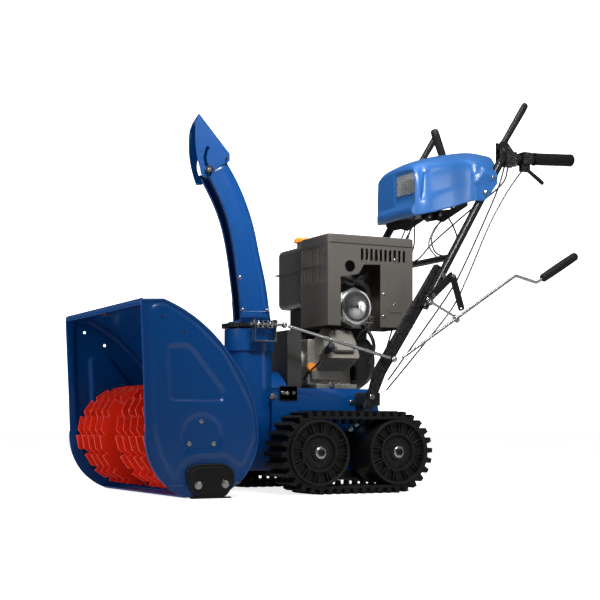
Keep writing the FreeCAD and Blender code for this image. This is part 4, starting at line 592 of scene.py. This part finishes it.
def side_plates():
    """The two pressed cheek plates with their rolled edges, and the hem along the housing's front."""
    high = span("side_plates")[1]
    loops = face_loops("side_plates", 0, high[0])
    outline = loops[0] if area(loops[0]) > 0 else loops[0][::-1]
    holes = [loop for loop in loops[1:] if abs(loop.mean(0) - (0, 165)).max() > 5]
    flat, faces, heights = stamped([outline] + holes, 5.0, plate_relief, [FIELD, WINDOW, BEARING])
    near = thick_sheet(flat, faces, heights, 0, high[0], 1, 3.0)
    edge = resampled(outline, 12.0)
    rim = [p for p in edge if p[1] > 30]
    start = min(range(len(rim)), key=lambda i: rim[i][1] + (500 if rim[i][0] > 0 else 0))
    rim = rim[start:] + rim[:start]
    middle = np.array([-10.0, 260.0])
    inward = np.array([p + (middle - p) / np.hypot(*(middle - p)) * 3.4 for p in rim])
    bead = tube(lay(0, high[0] + 0.4, inward), 3.6, 10)
    plate = join(near, bead)
    piece("side_plate_left", plate, "machine", "blue_paint", ("side_plates",), sharp=50)
    piece("side_plate_right", mirrored(plate), "machine", "blue_paint", sharp=50)
    lip = span("housing_shell")[0][1]
    shell_top = span("housing_shell")[1][2]
    half = high[0] - 4
    hem = tube([(-half, lip + 5, shell_top - 5), (half, lip + 5, shell_top - 5)], 5.0, 12)
    drop = slab((-half, lip + 1.0, shell_top - 17), (half, lip + 3.5, shell_top - 4))
    piece("front_lip", join(hem, drop), "machine", "blue_paint", bevel=0.6)
    tab = join(slab((-14, lip + 8, shell_top - 22), (14, lip + 30, shell_top - 19)),
               slab((-14, lip + 8, shell_top - 22), (14, lip + 11, shell_top - 6)))
    piece("lip_bracket", tab, "machine", "zinc", bevel=0.6)


# ---------------------------------------------------------------- chute

NECK = (span("chute_collar")[0] + span("chute_collar")[1]) / 2
CHUTE_AIM = math.radians(-14)
CHUTE_HALF = 63.5
CHUTE_FRONT = np.array([(219, 497), (218, 525), (214, 570), (208.5, 616), (201, 675), (190.5, 737),
                        (177, 791), (155, 848), (120, 916)], float)
CHUTE_BACK = np.array([(308, 497), (305, 514), (293, 600), (274, 688), (259, 760), (238.5, 826),
                       (211, 890), (178.5, 948)], float)
BACK_CORNER = 32
FLANGE = 22


def along(curve, t):
    """Points a share t of the way up a curve, by length."""
    fine = smooth(curve, 10)
    steps = np.hypot(*np.diff(fine, axis=0).T)
    way = np.concatenate([[0], np.cumsum(steps)]) / steps.sum()
    return np.array([np.interp(t, way, fine[:, 0]), np.interp(t, way, fine[:, 1])])


def chute_section(length):
    """Half of the channel's section: (x from its middle, distance back from its front)."""
    corner = BACK_CORNER
    turn = [(CHUTE_HALF - corner + corner * math.cos(a), length - corner + corner * math.sin(a))
            for a in np.linspace(0, math.pi / 2, 9)]
    front = [(CHUTE_HALF - FLANGE, 0), (CHUTE_HALF - 2, 0), (CHUTE_HALF, 2), (CHUTE_HALF, length * 0.35)]
    return front + turn


def aimed(shape):
    """Turns a shape drawn with the chute's middle at x 0 onto the neck, as the parked chute points."""
    points, faces = shape
    turn = np.array([[math.cos(CHUTE_AIM), -math.sin(CHUTE_AIM)], [math.sin(CHUTE_AIM), math.cos(CHUTE_AIM)]])
    out = np.array(points, float)
    out[:, :2] = (out[:, :2] - (0, NECK[1])) @ turn.T + NECK[:2]
    return out, faces


def chute():
    """The open-fronted channel, its foot, bolts, knob caps and the hood's sprung hinge."""
    rows = []
    for t in np.linspace(0, 1, 34):
        front, back = along(CHUTE_FRONT, t), along(CHUTE_BACK, t)
        length = float(np.hypot(*(back - front)))
        way = (back - front) / length
        half = chute_section(length)
        section = half + [(-x, s) for x, s in half[::-1]]
        rows.append([(x, front[0] + way[0] * s, front[1] + way[1] * s) for x, s in section])
    width = len(rows[0])
    points = [p for row in rows for p in row]
    faces = []
    for i in range(len(rows) - 1):
        for k in range(width - 1):
            faces.append((i * width + k, i * width + k + 1, (i + 1) * width + k + 1, (i + 1) * width + k))
    channel = piece("chute_channel", aimed((points, faces)), "chute", "blue_paint", ("chute",), sharp=30)
    shell = channel.modifiers.new("sheet", "SOLIDIFY")
    shell.thickness = 2 * MM
    shell.offset = 1
    spigot = turned(2, (0, NECK[1], 0), [(61.5, 476), (61.5, 493), (59.5, 493), (59.5, 476), (61.5, 476)], 48)
    spigot = (spigot[0], spigot[1][:-2])
    foot = rounded([(-CHUTE_HALF, 208), (CHUTE_HALF, 208), (CHUTE_HALF, 311), (-CHUTE_HALF, 311)], 24)
    flat, flat_faces, heights = stamped([foot, circle(0, NECK[1], 40, 32)], 14.0, lambda f: f[:, 0] * 0)
    plate = thick_sheet(flat, flat_faces, heights, 2, 496, 1, 3.0)
    lips = []
    for side in (-1, 1):
        wall = side * (CHUTE_HALF + 1)
        lips.append(tube([(wall, 217.5, 519), (wall, 303, 519)], 2.0, 8))
        lips.append(tube(smooth([(wall, 214, 560), (wall, 217, 519), (wall, 217.5, 500)], 5), 1.6, 8))
    piece("chute_foot", aimed(join(spigot, plate, *lips)), "chute", "blue_paint", bevel=0.5)
    places = ((222, 524), (214, 616), (292, 524))
    bolts = [bolt_head(0, (side * (CHUTE_HALF + 1.2), y, z), 8, 5 * side)
             for side in (1, -1) for y, z in places]
    piece("chute_bolts", aimed(join(*bolts)), "chute", "zinc", bevel=0.3)
    knobs = []
    for side in (1, -1):
        profile = [(4.5, 0), (4.5, 1.2 * side), (3.2, 2.2 * side)]
        knobs.append(turned(0, (side * (CHUTE_HALF + 15), 124.7, 917.9), profile, 16))
    piece("knob_caps", aimed(join(*knobs)), "chute", "zinc")
    hinge = [turned(0, (-20 + 40 * k, 182, 957), [(5, -9), (5, 9)], 14) for k in (0, 1)]
    straps = [slab((-24 + 40 * k, 178, 955), (-16 + 40 * k, 192, 959)) for k in (0, 1)]
    coil = [(x, 186 + 5.5 * math.cos(a), 960 + 5.5 * math.sin(a))
            for x, a in zip(np.linspace(-9, 9, 70), np.linspace(0, 12 * math.pi, 70))]
    piece("hood_hinge", aimed(join(*hinge, *straps, tube(coil, 1.2, 8))), "chute", "black_paint", bevel=0.4)


def worm():
    """The open coil on the crank rod."""
    low, high = span("chute_worm")
    centre = (low + high) / 2
    turns = 5.5
    angles = np.linspace(0, turns * 2 * math.pi, 130)
    ys = np.linspace(low[1] + 6, high[1] - 10, len(angles))
    coil = [(centre[0] + 10.8 * math.cos(a), y, centre[2] + 10.8 * math.sin(a)) for a, y in zip(angles, ys)]
    core = tube([(centre[0], low[1], centre[2]), (centre[0], high[1], centre[2])], 4.6, 14)
    piece("worm_coil", join(tube(coil, 2.3, 10), core), "chute_worm", "zinc", ("chute_worm",))


# ---------------------------------------------------------------- wheels and tracks

def wheel(body, node):
    """A moulded track wheel: dished disc, paired ribs, four pockets round the hub shown as darker blocks of
    painted shade, and its cap.
    """
    low, high = span(node)
    centre = (low + high) / 2
    side = 1 if centre[0] > 0 else -1
    radius = (high[2] - low[2]) / 2
    half = (high[0] - low[0]) / 2
    face = half - 4
    hub = [(15, half - 2), (24, half - 2), (26, face - 6), (48, face - 10), (49, face), (55, face)]
    outer_dish = [(56, face - 12), (radius - 9, face - 12), (radius - 7, half), (radius, half)]
    groove = [(radius, 20), (radius - 14, 18), (radius - 14, -18), (radius, -20)]
    inner_dish = [(radius, -half), (radius - 7, -half), (radius - 9, 12 - face)]
    hub_end = [(26, 12 - face), (24, 2 - half), (15, 2 - half), (15, half - 2)]
    profile = hub + outer_dish + groove + inner_dish + hub_end
    body_shape = turned(0, (centre[0], centre[1], centre[2]), [(r, a * side) for r, a in profile], 72)
    body_shape = (body_shape[0], body_shape[1][:-2] if side > 0 else [f[::-1] for f in body_shape[1][:-2]])
    ribs = []
    for i in range(24):
        angle = math.radians(15 * i + (4.2 if i % 2 else -4.2))
        out = np.array([math.cos(angle), math.sin(angle)])
        across = np.array([-out[1], out[0]])
        near, far = out * 54, out * (radius - 7.5)
        edge = across * 1.5
        flat = [near - edge, far - edge, far + edge, near + edge]
        a, b = sorted((centre[0] + side * (face - 13), centre[0] + side * (face - 0.5)))
        ribs.append(prism(0, a, b, [(p[0] + centre[1], p[1] + centre[2]) for p in flat]))
    piece(body + "_disc", join(body_shape, *ribs), body, "wheel_plastic", (node,), bevel=0.7)
    # The pockets are not cut: darker black plastic blocks sit over them as painted shade in their hollows
    pocket_shades = []
    for i in range(4):
        middle = math.pi / 4 + i * math.pi / 2
        angles = np.linspace(middle - 0.55, middle + 0.55, 12)
        outer = [(centre[1] + 43 * math.cos(a), centre[2] + 43 * math.sin(a)) for a in angles]
        inner = [(centre[1] + 33 * math.cos(a), centre[2] + 33 * math.sin(a)) for a in angles[::-1]]
        a, b = sorted((centre[0] + side * (face - 9.5), centre[0] + side * (face - 6.5)))
        pocket_shades.append(prism(0, a, b, outer + inner))
    piece(body + "_pocket_shade", join(*pocket_shades), body, "black_plastic", bevel=0.5)
    edge = centre[0] + side * (half - 2)
    end = (edge, centre[1], centre[2])
    collar = turned(0, end, [(17, -2 * side), (17, 3 * side), (14, 5 * side), (10, 5 * side)], 28)
    nut = turned(0, end, [(10.5, 0), (10.5, 9 * side), (9, 10.5 * side)], 6)
    piece(body + "_cap", collar, body, "zinc", bevel=0.5)
    piece(body + "_nut", nut, body, "black_plastic", bevel=0.5)


# ---------------------------------------------------------------- handlebar controls

# y, then the cover's section from its lower edge up to the crown, then how far its middle bows back
STATIONS = [
    (797, (114, 838), (114, 880), (112, 950), (98, 981), 988, 0),
    (806, (120, 840), (120, 885), (116, 958), (88, 996), 1003, 0),
    (838, (146, 847), (140, 890), (122, 972), (90, 1010), 1021, 0),
    (872, (202, 857), (196, 900), (188, 976), (112, 1019), 1035, 6),
    (905, (264, 868), (264, 905), (260, 979), (150, 1026), 1046, 14),
    (948, (271, 874), (271, 915), (268, 974), (170, 1034), 1054, 30),
    (992, (271, 926), (271, 938), (268, 957), (175, 1028), 1056, 62),
]
WING = 271
SCOOP = rounded([(812, 886), (828, 968), (848, 982), (895, 984), (945, 971), (912, 930)], 14)


def console():
    """The moulded cover, its front face with the lamp window, bolts and the bracket below."""
    rows = []
    for y, *sides, crown, bow in STATIONS:
        half = [(x, y + bow * (1 - (x / WING) ** 2), z) for x, z in sides] + [(0, y + bow, crown)]
        line = half + [(-x, y, z) for x, y, z in half[-2::-1]]
        rows.append(smooth(line, 9))
    rows = np.array(rows)
    grid = np.stack([smooth(rows[:, k], 10) for k in range(rows.shape[1])], 1)
    height, width = grid.shape[:2]
    points = grid.reshape(-1, 3)
    depth = ease(depth_in(points[:, 1:], SCOOP), 6.0) * 8.0
    near_side = np.clip((np.abs(points[:, 0]) - 85) / 30, 0, 1)
    points[:, 0] -= np.sign(points[:, 0]) * depth * near_side
    faces = [(i * width + k, i * width + k + 1, (i + 1) * width + k + 1, (i + 1) * width + k)
             for i in range(height - 1) for k in range(width - 1)]
    cover = piece("console_cover", (points, faces), "machine", "console_plastic", ("console",), sharp=60)
    shell = cover.modifiers.new("wall", "SOLIDIFY")
    shell.thickness = 3 * MM
    shell.offset = 1
    outline = np.array([(x, z) for x, _, z in grid[0]])
    if area(outline) < 0:
        outline = outline[::-1]
    lamp_low, lamp_high = span("lamp_lens")
    hole = np.array([(lamp_low[0], lamp_low[2]), (lamp_high[0], lamp_low[2]), (lamp_high[0], lamp_high[2]),
                     (lamp_low[0], lamp_high[2])])
    window = rounded(hole, 7)
    left, right = lamp_low[0] - 10, lamp_high[0] + 1
    bottom, top = 886, lamp_high[2] + 7
    frame_line = rounded([(left, bottom), (right, bottom), (right, top), (left, top)], 12)

    def relief(flat):
        lip = np.clip((878 - flat[:, 1]) / 12, 0, 1) * np.clip(depth_in(flat, outline) / 9, 0, 1)
        return lip * 7.0 - ease(depth_in(flat, frame_line), 3.0) * 3.0

    flat, flat_faces, heights = stamped([outline, window], 6.0, relief, [frame_line])
    front = thick_sheet(flat, flat_faces, heights, 1, 797, -1, 3.0)
    piece("console_front", front, "machine", "console_plastic", sharp=40)
    bolts = [bolt_head(0, ((WING + 1.5) * s, y, z), 10, 5 * s)
             for s in (1, -1) for y, z in ((974, 944), (949, 896))]
    piece("console_bolts", join(*bolts), "machine", "zinc", bevel=0.3)
    side = [(826, 852), (824, 834), (846, 822), (880, 830), (905, 826), (996, 884), (994, 902), (930, 868)]
    shelf = slab((-104, 850, 856), (104, 905, 859))
    plates = join(prism(0, 104, 108, side), prism(0, -108, -104, side), shelf)
    ends = [turned(0, (108, y, z), [(r, 0), (r, 10), (r - 2, 12)], 20)
            for y, z, r in ((846, 838, 14), (884, 846, 11))]
    piece("console_bracket", join(plates, *ends), "machine", "black_paint", bevel=0.8)
    heads = [bolt_head(0, (120, 846, 838), 8, 4), bolt_head(0, (120, 884, 846), 7, 4)]
    piece("bracket_bolts", join(*heads), "machine", "zinc", bevel=0.3)


def lever(name, body, node, foot, end, thick, flat):
    """A rounded plastic lever that swells towards its end, flattened across the machine."""
    foot, end = np.array(foot, float), np.array(end, float)
    shares = np.array([0, 0.03, 0.10, 0.3, 0.6, 0.85, 0.95, 0.985, 1.0])
    radii = thick * np.array([0.75, 0.95, 0.92, 0.90, 0.96, 1.0, 0.95, 0.75, 0.35])
    points, faces = tube([foot + (end - foot) * t for t in shares], radii, 20)
    points[:, 0] = foot[0] + (points[:, 0] - foot[0]) * flat
    piece(name, (points, faces), body, "black_plastic", (node,), sharp=50)


def levers():
    for side, name in ((1, "left"), (-1, "right")):
        pivot = np.array((254 * side, 1020, 1044))
        way = np.array((0, math.sin(math.radians(33)), math.cos(math.radians(33))))
        body = "clutch_lever_" + name
        lever(body + "_paddle", body, body, pivot - way * 14, pivot + way * 168, 11.5, 0.72)
        pivot = np.array((254 * side, 1112, 984))
        way = np.array((0, math.sin(math.radians(122)), math.cos(math.radians(122))))
        body = "steering_trigger_" + name
        lever(body + "_blade", body, body, pivot - way * 8, pivot + way * 77, 7.0, 0.62)
    pivot = np.array((0, 990, 1010))
    way = np.array((0, -math.sin(math.radians(22)), math.cos(math.radians(22))))
    lever("shift_handle", "shift_lever", "shift_lever", pivot - way * 9, pivot + way * 140, 14.0, 0.9)


def flat_bar(a, b, width, x0, x1):
    """A flat bar with round ends between two points of a side view."""
    a, b = np.array(a, float), np.array(b, float)
    way = (b - a) / np.hypot(*(b - a))
    side = np.array([-way[1], way[0]]) * width / 2
    return prism(0, x0, x1, rounded([a - side, b - side, b + side, a + side], width * 0.45))


def crank_details():
    bars = join(flat_bar((740, 560), (835, 645), 24, 268, 272),
                flat_bar((827, 644), (862, 536), 22, 272.5, 276.5))
    piece("crank_bars", bars, "machine", "black_paint", bevel=0.7)
    pins = [bolt_head(0, (276.5, 831, 640), 9, 5),
            bolt_head(0, (272, 745, 565), 9, 5),
            bolt_head(0, (276.5, 860, 541), 8, 4)]
    piece("crank_bar_bolts", join(*pins), "machine", "zinc", bevel=0.3)
    start, end = np.array((287, 1148, 645.0)), np.array((287, 1276, 722.0))
    way = (end - start) / np.linalg.norm(end - start)
    start, end = start - way * 2, end + way * 2
    shares = np.linspace(0, 1, 31)
    radii = 13.2 + 0.8 * np.sin(shares * math.pi) - 0.25 * (np.arange(31) % 2)
    radii[0], radii[-1] = 9, 9
    grip = tube([start + (end - start) * t for t in shares], radii, 22)
    piece("crank_handle_grip", grip, "crank_grip", "black_plastic", ("crank_grip",), sharp=60)


def grips():
    for s, name in ((1, "left"), (-1, "right")):
        a = np.array([254 * s, 1137, 1016.5])
        b = np.array([254 * s, 1288, 1026.0])
        ts = np.linspace(0, 1, 46)
        radii = [19 - 1.2 * (i % 2) if 3 < i < 42 else 19.5 for i in range(46)]
        radii[0] = 15
        radii[1] = 20.5
        radii[-1] = 14
        radii[-2] = 18
        path = [a + (b - a) * t for t in ts]
        piece("grip_" + name, tube(path, radii, 24), "machine", "grip_rubber", ("hand_grips",), sharp=60)


def cables():
    """Thin black sleeves from the levers down to the engine and gearbox."""
    runs = [
        [(246, 1050, 985), (236, 1030, 930), (150, 960, 850), (60, 900, 770), (40, 860, 720),
         (70, 800, 690), (90, 760, 640)],
        [(246, 1040, 1000), (250, 1015, 930), (246, 980, 850), (240, 900, 690), (232, 850, 600),
         (210, 760, 470), (150, 680, 330)],
        [(250, 1096, 975), (252, 1040, 905), (252, 975, 800), (246, 900, 640), (240, 845, 540),
         (200, 740, 400), (140, 680, 300)],
        [(110, 908, 842), (110, 880, 812), (112, 858, 770), (116, 872, 728), (122, 915, 722), (124, 945, 765),
         (118, 935, 812), (112, 915, 846)],
        [(100, 915, 842), (104, 872, 800), (112, 850, 745), (150, 880, 700), (190, 900, 740), (200, 960, 850)],
        [(60, 830, 850), (56, 815, 800), (60, 800, 760), (80, 770, 700), (110, 740, 560), (120, 690, 420)],
    ]
    shapes = []
    for run in runs:
        shapes.append(tube(smooth(run, 9), 2.6, 8))
    left = join(*shapes[:3])
    piece("cables_left", join(*shapes), "machine", "belt_rubber", ("control_cables",))
    piece("cables_right", mirrored(left), "machine", "belt_rubber")


# ---------------------------------------------------------------- engine

LEAN = math.radians(62)
CYLINDER_ROOT = np.array((28.0, 0, 388.0))


def leaning(shape):
    """Stands a shape drawn along z on the cylinder's leaning axis."""
    points, faces = shape
    turn = np.array([[math.cos(LEAN), 0, math.sin(LEAN)], [0, 1, 0], [-math.sin(LEAN), 0, math.cos(LEAN)]])
    return points @ turn.T + CYLINDER_ROOT, faces


def finned_block():
    """The engine's crankcase, leaning finned cylinder, head cover, plug lead and oil neck."""
    case = join(slab((-62, 454, 316), (62, 600, 452)), slab((-96, 466, 302), (96, 604, 318)),
                slab((60, 462, 330), (74, 560, 372)), turned(1, (0, 446, 392), [(34, 0), (34, 12)], 32))
    piece("engine_case", case, "machine", "cast_aluminium", ("engine_block",), bevel=3.0)
    core = prism(2, 0, 104, rounded([(-38, 492), (38, 492), (38, 572), (-38, 572)], 16))
    fins = []
    for i in range(14):
        size = 52 - 0.25 * abs(i - 7)
        outline = rounded([(-size, 477), (size, 477), (size, 587), (-size, 587)], 13)
        fins.append(prism(2, 22 + i * 6.3, 24.2 + i * 6.3, outline))
    piece("cylinder_fins", leaning(join(core, *fins)), "machine", "cast_aluminium", bevel=0.5)
    cover = prism(2, 112, 124, rounded([(-34, 494), (34, 494), (34, 570), (-34, 570)], 14))
    studs = [turned(2, (x, y, 0), [(5, 124), (5, 129), (4, 130)], 6) for x in (-26, 26) for y in (502, 562)]
    piece("head_cover", leaning(join(cover, *studs)), "machine", "cast_aluminium", bevel=2.0)
    plug = leaning(turned(2, (30, 480, 0), [(9, 104), (9, 120), (12, 122), (12, 140), (8, 144)], 16))
    way = [(130, 482, 426), (140, 470, 420), (120, 462, 380), (60, 455, 350), (40, 452, 330)]
    lead = tube(smooth(way, 8), 3.2, 8)
    piece("spark_lead", join(plug, lead), "machine", "belt_rubber", bevel=0.4)
    cap_low, cap_high = span("oil_cap")
    cap = (cap_low + cap_high) / 2
    neck = turned(0, (60, cap[1], cap[2]), [(11, 0), (11, cap_low[0] - 60.4)], 20)
    piece("oil_neck", neck, "machine", "cast_aluminium")
    bits = []
    for y in np.linspace(470, 592, 5):
        bits.append(bolt_head(0, (62, y, 324), 9, 5))
    piece("case_bolts", join(*bits, bolt_head(0, (96, 516, 312), 13, 8)), "machine", "zinc", bevel=0.3)


def hoses():
    """Dark hoses and leads seen through the cover's cut-out and below it."""
    runs = [
        [(130, 512, 600), (140, 530, 622), (138, 560, 612), (132, 590, 634), (120, 625, 646)],
        [(120, 516, 640), (136, 545, 636), (140, 580, 622), (130, 615, 606), (116, 636, 566)],
        [(110, 640, 520), (120, 628, 490), (118, 600, 470), (96, 590, 430), (84, 600, 380), (70, 640, 340)],
        [(100, 520, 484), (120, 512, 470), (122, 500, 440), (96, 480, 400)],
        [(60, 640, 500), (92, 652, 470), (100, 660, 430), (88, 650, 380)],
    ]
    shapes = [tube(smooth(run, 8), radius, 10) for run, radius in zip(runs, (7, 9, 4, 5, 6))]
    boots = [turned(0, (96, 600, 630), [(16, 0), (18, 14), (14, 26), (9, 34)], 20),
             turned(0, (104, 540, 652), [(13, 0), (13, 20), (9, 26)], 18)]
    piece("engine_hoses", join(*shapes, *boots), "machine", "belt_rubber")
    shroud = join(slab((20, 604, 330), (92, 640, 486)), slab((60, 560, 452), (104, 636, 486)))
    piece("fan_shroud", shroud, "machine", "black_plastic", bevel=6.0)


def frame_details():
    plate = slab((166, 308, 266), (169, 366, 308))
    piece("frame_tab", plate, "machine", "black_paint", bevel=1.0)
    heads = [bolt_head(0, (169, y, z), 8, 4) for y, z in ((320, 288), (334, 286), (354, 288))]
    heads += [bolt_head(0, (165.5, y, z), 12, 6) for y, z in ((545, 262), (288, 277))]
    heads += [bolt_head(0, (241, y, z), 11, 6) for y, z in ((502, 184), (522, 197), (572, 277))]
    piece("frame_bolts", join(*heads), "machine", "zinc", bevel=0.3)


def engine_details():
    low, high = span("engine_cover")
    lid = rounded([(low[0] - 2, low[1] - 2), (high[0] + 2.5, low[1] - 2), (high[0] + 2.5, high[1] + 2),
                   (low[0] - 2, high[1] + 2)], 16)
    piece("cover_lid", prism(2, 728, high[2] + 2, lid), "machine", "grey_plastic", bevel=4.0)
    panel = rounded([(670, 531), (719, 531), (719, 636), (670, 636)], 3)
    piece("cover_panel", prism(0, high[0] - 1, high[0] + 1.6, panel), "machine", "grey_plastic", bevel=1.0)
    heads = [bolt_head(0, (high[0], y, z), 8, 4) for y, z in ((653, 586), (688, 557), (653, 519), (693, 689))]
    piece("cover_screws", join(*heads), "machine", "zinc", bevel=0.3)
    cap_low, cap_high = span("fuel_cap")
    centre = (cap_low + cap_high) / 2
    radius = (cap_high[0] - cap_low[0]) / 2
    ribs = []
    for i in range(20):
        a = i * math.pi / 10
        x = centre[0] + (radius + 0.2) * math.cos(a)
        y = centre[1] + (radius + 0.2) * math.sin(a)
        ribs.append(tube([(x, y, cap_low[2] + 1), (x, y, cap_low[2] + 9)], 1.6, 6))
    piece("fuel_cap_ribs", join(*ribs), "fuel_cap", "orange_plastic")
    muffler = span("muffler")
    middle = (muffler[0] + muffler[1]) / 2
    disc = turned(0, (muffler[1][0] - 1, middle[1], middle[2]),
                  [(50, 0), (50, 2), (46, 3.5), (40, 3.0), (36, 3.3), (14, 4.2), (9, 6.5), (2, 6.5)], 40)
    piece("muffler_dome", disc, "machine", "steel", look="muffler_chrome")
    plate = circle(middle[1], middle[2], 60, 8)
    plate = prism(0, muffler[1][0] - 16, muffler[1][0] - 13, plate)
    piece("muffler_plate", plate, "machine", "steel", bevel=0.6)
    guard = [tube([(high[0] - 8, middle[1] - 50, z), (high[0] - 8, middle[1] + 56, z)], 1.6, 8)
             for z in (500, 518)]
    piece("muffler_guard", join(*guard), "machine", "zinc")


# ---------------------------------------------------------------- room, light and camera

# name, place, what it points at, size, power, spread in degrees
LAMPS = [
    ("front", (0.4, -3.9, 1.8), (0, -0.3, 0.3), (1.5, 1.5), 60, 170),
    ("strip", (2.4, 2.6, 1.55), (0, -0.2, 0.9), (0.7, 2.3), 6, 170),
    ("high", (2.6, -0.6, 2.9), (0.1, -0.05, 1.15), (0.9, 0.9), 12, 34),
    ("top", (0.6, 0.0, 3.6), (0, 0, 0.0), (2.2, 3.0), 34, 170),
]


def room():
    scene = bpy.context.scene
    scene.view_settings.view_transform = "Standard"
    floor_mesh = bpy.data.meshes.new("floor")
    size = 40
    corners = [(-size, -size, 0), (size, -size, 0), (size, size, 0), (-size, size, 0)]
    floor_mesh.from_pydata(corners, [], [(0, 1, 2, 3)])
    floor = bpy.data.objects.new("floor", floor_mesh)
    scene.collection.objects.link(floor)
    floor_mesh.materials.append(floor_material())
    studio()
    for row in LAMPS:
        lamp(*row)
    camera()


def floor_material():
    """A pale floor that the camera sees as bright as the backdrop, and that still takes shadows."""
    pale = bpy.data.materials.new("floor")
    pale.use_nodes = True
    tree = pale.node_tree
    shader = tree.nodes["Principled BSDF"]
    shader.inputs["Base Color"].default_value = (0.93, 0.93, 0.93, 1)
    shader.inputs["Roughness"].default_value = 0.6
    shader.inputs["Specular IOR Level"].default_value = 0.1
    shader.inputs["Emission Color"].default_value = (1, 1, 1, 1)
    seen = new_node(tree, "ShaderNodeLightPath").outputs["Is Camera Ray"]
    link(tree, ramp(tree, seen, 0, 1, 0.04, 0.82), shader.inputs["Emission Strength"])
    return pale


def studio():
    """A white backdrop whose light comes mostly from above, with a dim horizon."""
    world = bpy.data.worlds.new("studio")
    world.use_nodes = True
    tree = world.node_tree
    split = new_node(tree, "ShaderNodeSeparateXYZ")
    link(tree, new_node(tree, "ShaderNodeTexCoord").outputs["Generated"], split.inputs["Vector"])
    glow = ramp(tree, split.outputs["Z"], 0.05, 0.9, 0.03, 0.26)
    seen = new_node(tree, "ShaderNodeLightPath").outputs["Is Camera Ray"]
    bright = ramp(tree, seen, 0, 1, 0, 2)
    total = new_node(tree, "ShaderNodeMath", operation="MAXIMUM")
    link(tree, glow, total.inputs[0])
    link(tree, bright, total.inputs[1])
    background = tree.nodes["Background"]
    background.inputs["Color"].default_value = (1, 1, 1, 1)
    link(tree, total.outputs["Value"], background.inputs["Strength"])
    bpy.context.scene.world = world


def lamp(name, place, target, size, power, spread):
    light = bpy.data.lights.new(name, "AREA")
    light.shape = "RECTANGLE"
    light.size, light.size_y = size
    light.energy = power
    light.spread = math.radians(spread)
    thing = bpy.data.objects.new(name, light)
    thing.location = place
    thing.rotation_euler = (Vector(target) - Vector(place)).to_track_quat("-Z", "Y").to_euler()
    bpy.context.scene.collection.objects.link(thing)


CAMERA_PLACE = (3.587, -1.914, 0.193)
CAMERA_WAY = (-0.892, 0.451, 0.0)
LENS_SHIFT = 0.2097
SENSOR_WIDTH = 36
LENS_LENGTH = 79.62


def shift_at_home(thing):
    """The lens shift belongs to the studio view only; from any other place the camera looks straight."""
    curve = thing.data.driver_add("shift_y")
    for modifier in list(curve.modifiers):
        curve.modifiers.remove(modifier)
    curve.driver.type = "AVERAGE"
    place = curve.driver.variables.new()
    place.type = "TRANSFORMS"
    place.targets[0].id = thing
    place.targets[0].transform_type = "LOC_X"
    home = CAMERA_PLACE[0]
    stops = ((home - 10, 0), (home - 0.01, 0), (home - 0.001, LENS_SHIFT), (home + 0.001, LENS_SHIFT),
             (home + 0.01, 0), (home + 10, 0))
    curve.keyframe_points.add(len(stops))
    for point, stop in zip(curve.keyframe_points, stops):
        point.co = stop
        point.interpolation = "LINEAR"


def camera():
    data = bpy.data.cameras.new("camera")
    data.sensor_width = SENSOR_WIDTH
    data.lens = LENS_LENGTH
    thing = bpy.data.objects.new("camera", data)
    thing.location = CAMERA_PLACE
    thing.rotation_euler = Vector(CAMERA_WAY).to_track_quat("-Z", "Y").to_euler()
    bpy.context.scene.collection.objects.link(thing)
    bpy.context.scene.camera = thing
    shift_at_home(thing)


make_materials()
dress_cad()
side_plates()
skids()
chute()
worm()
for wheel_body in ("idler_wheel_left", "idler_wheel_right", "drive_wheel_left", "drive_wheel_right"):
    wheel(wheel_body, wheel_body)
console()
levers()
crank_details()
grips()
cables()
finned_block()
hoses()
frame_details()
engine_details()
room()
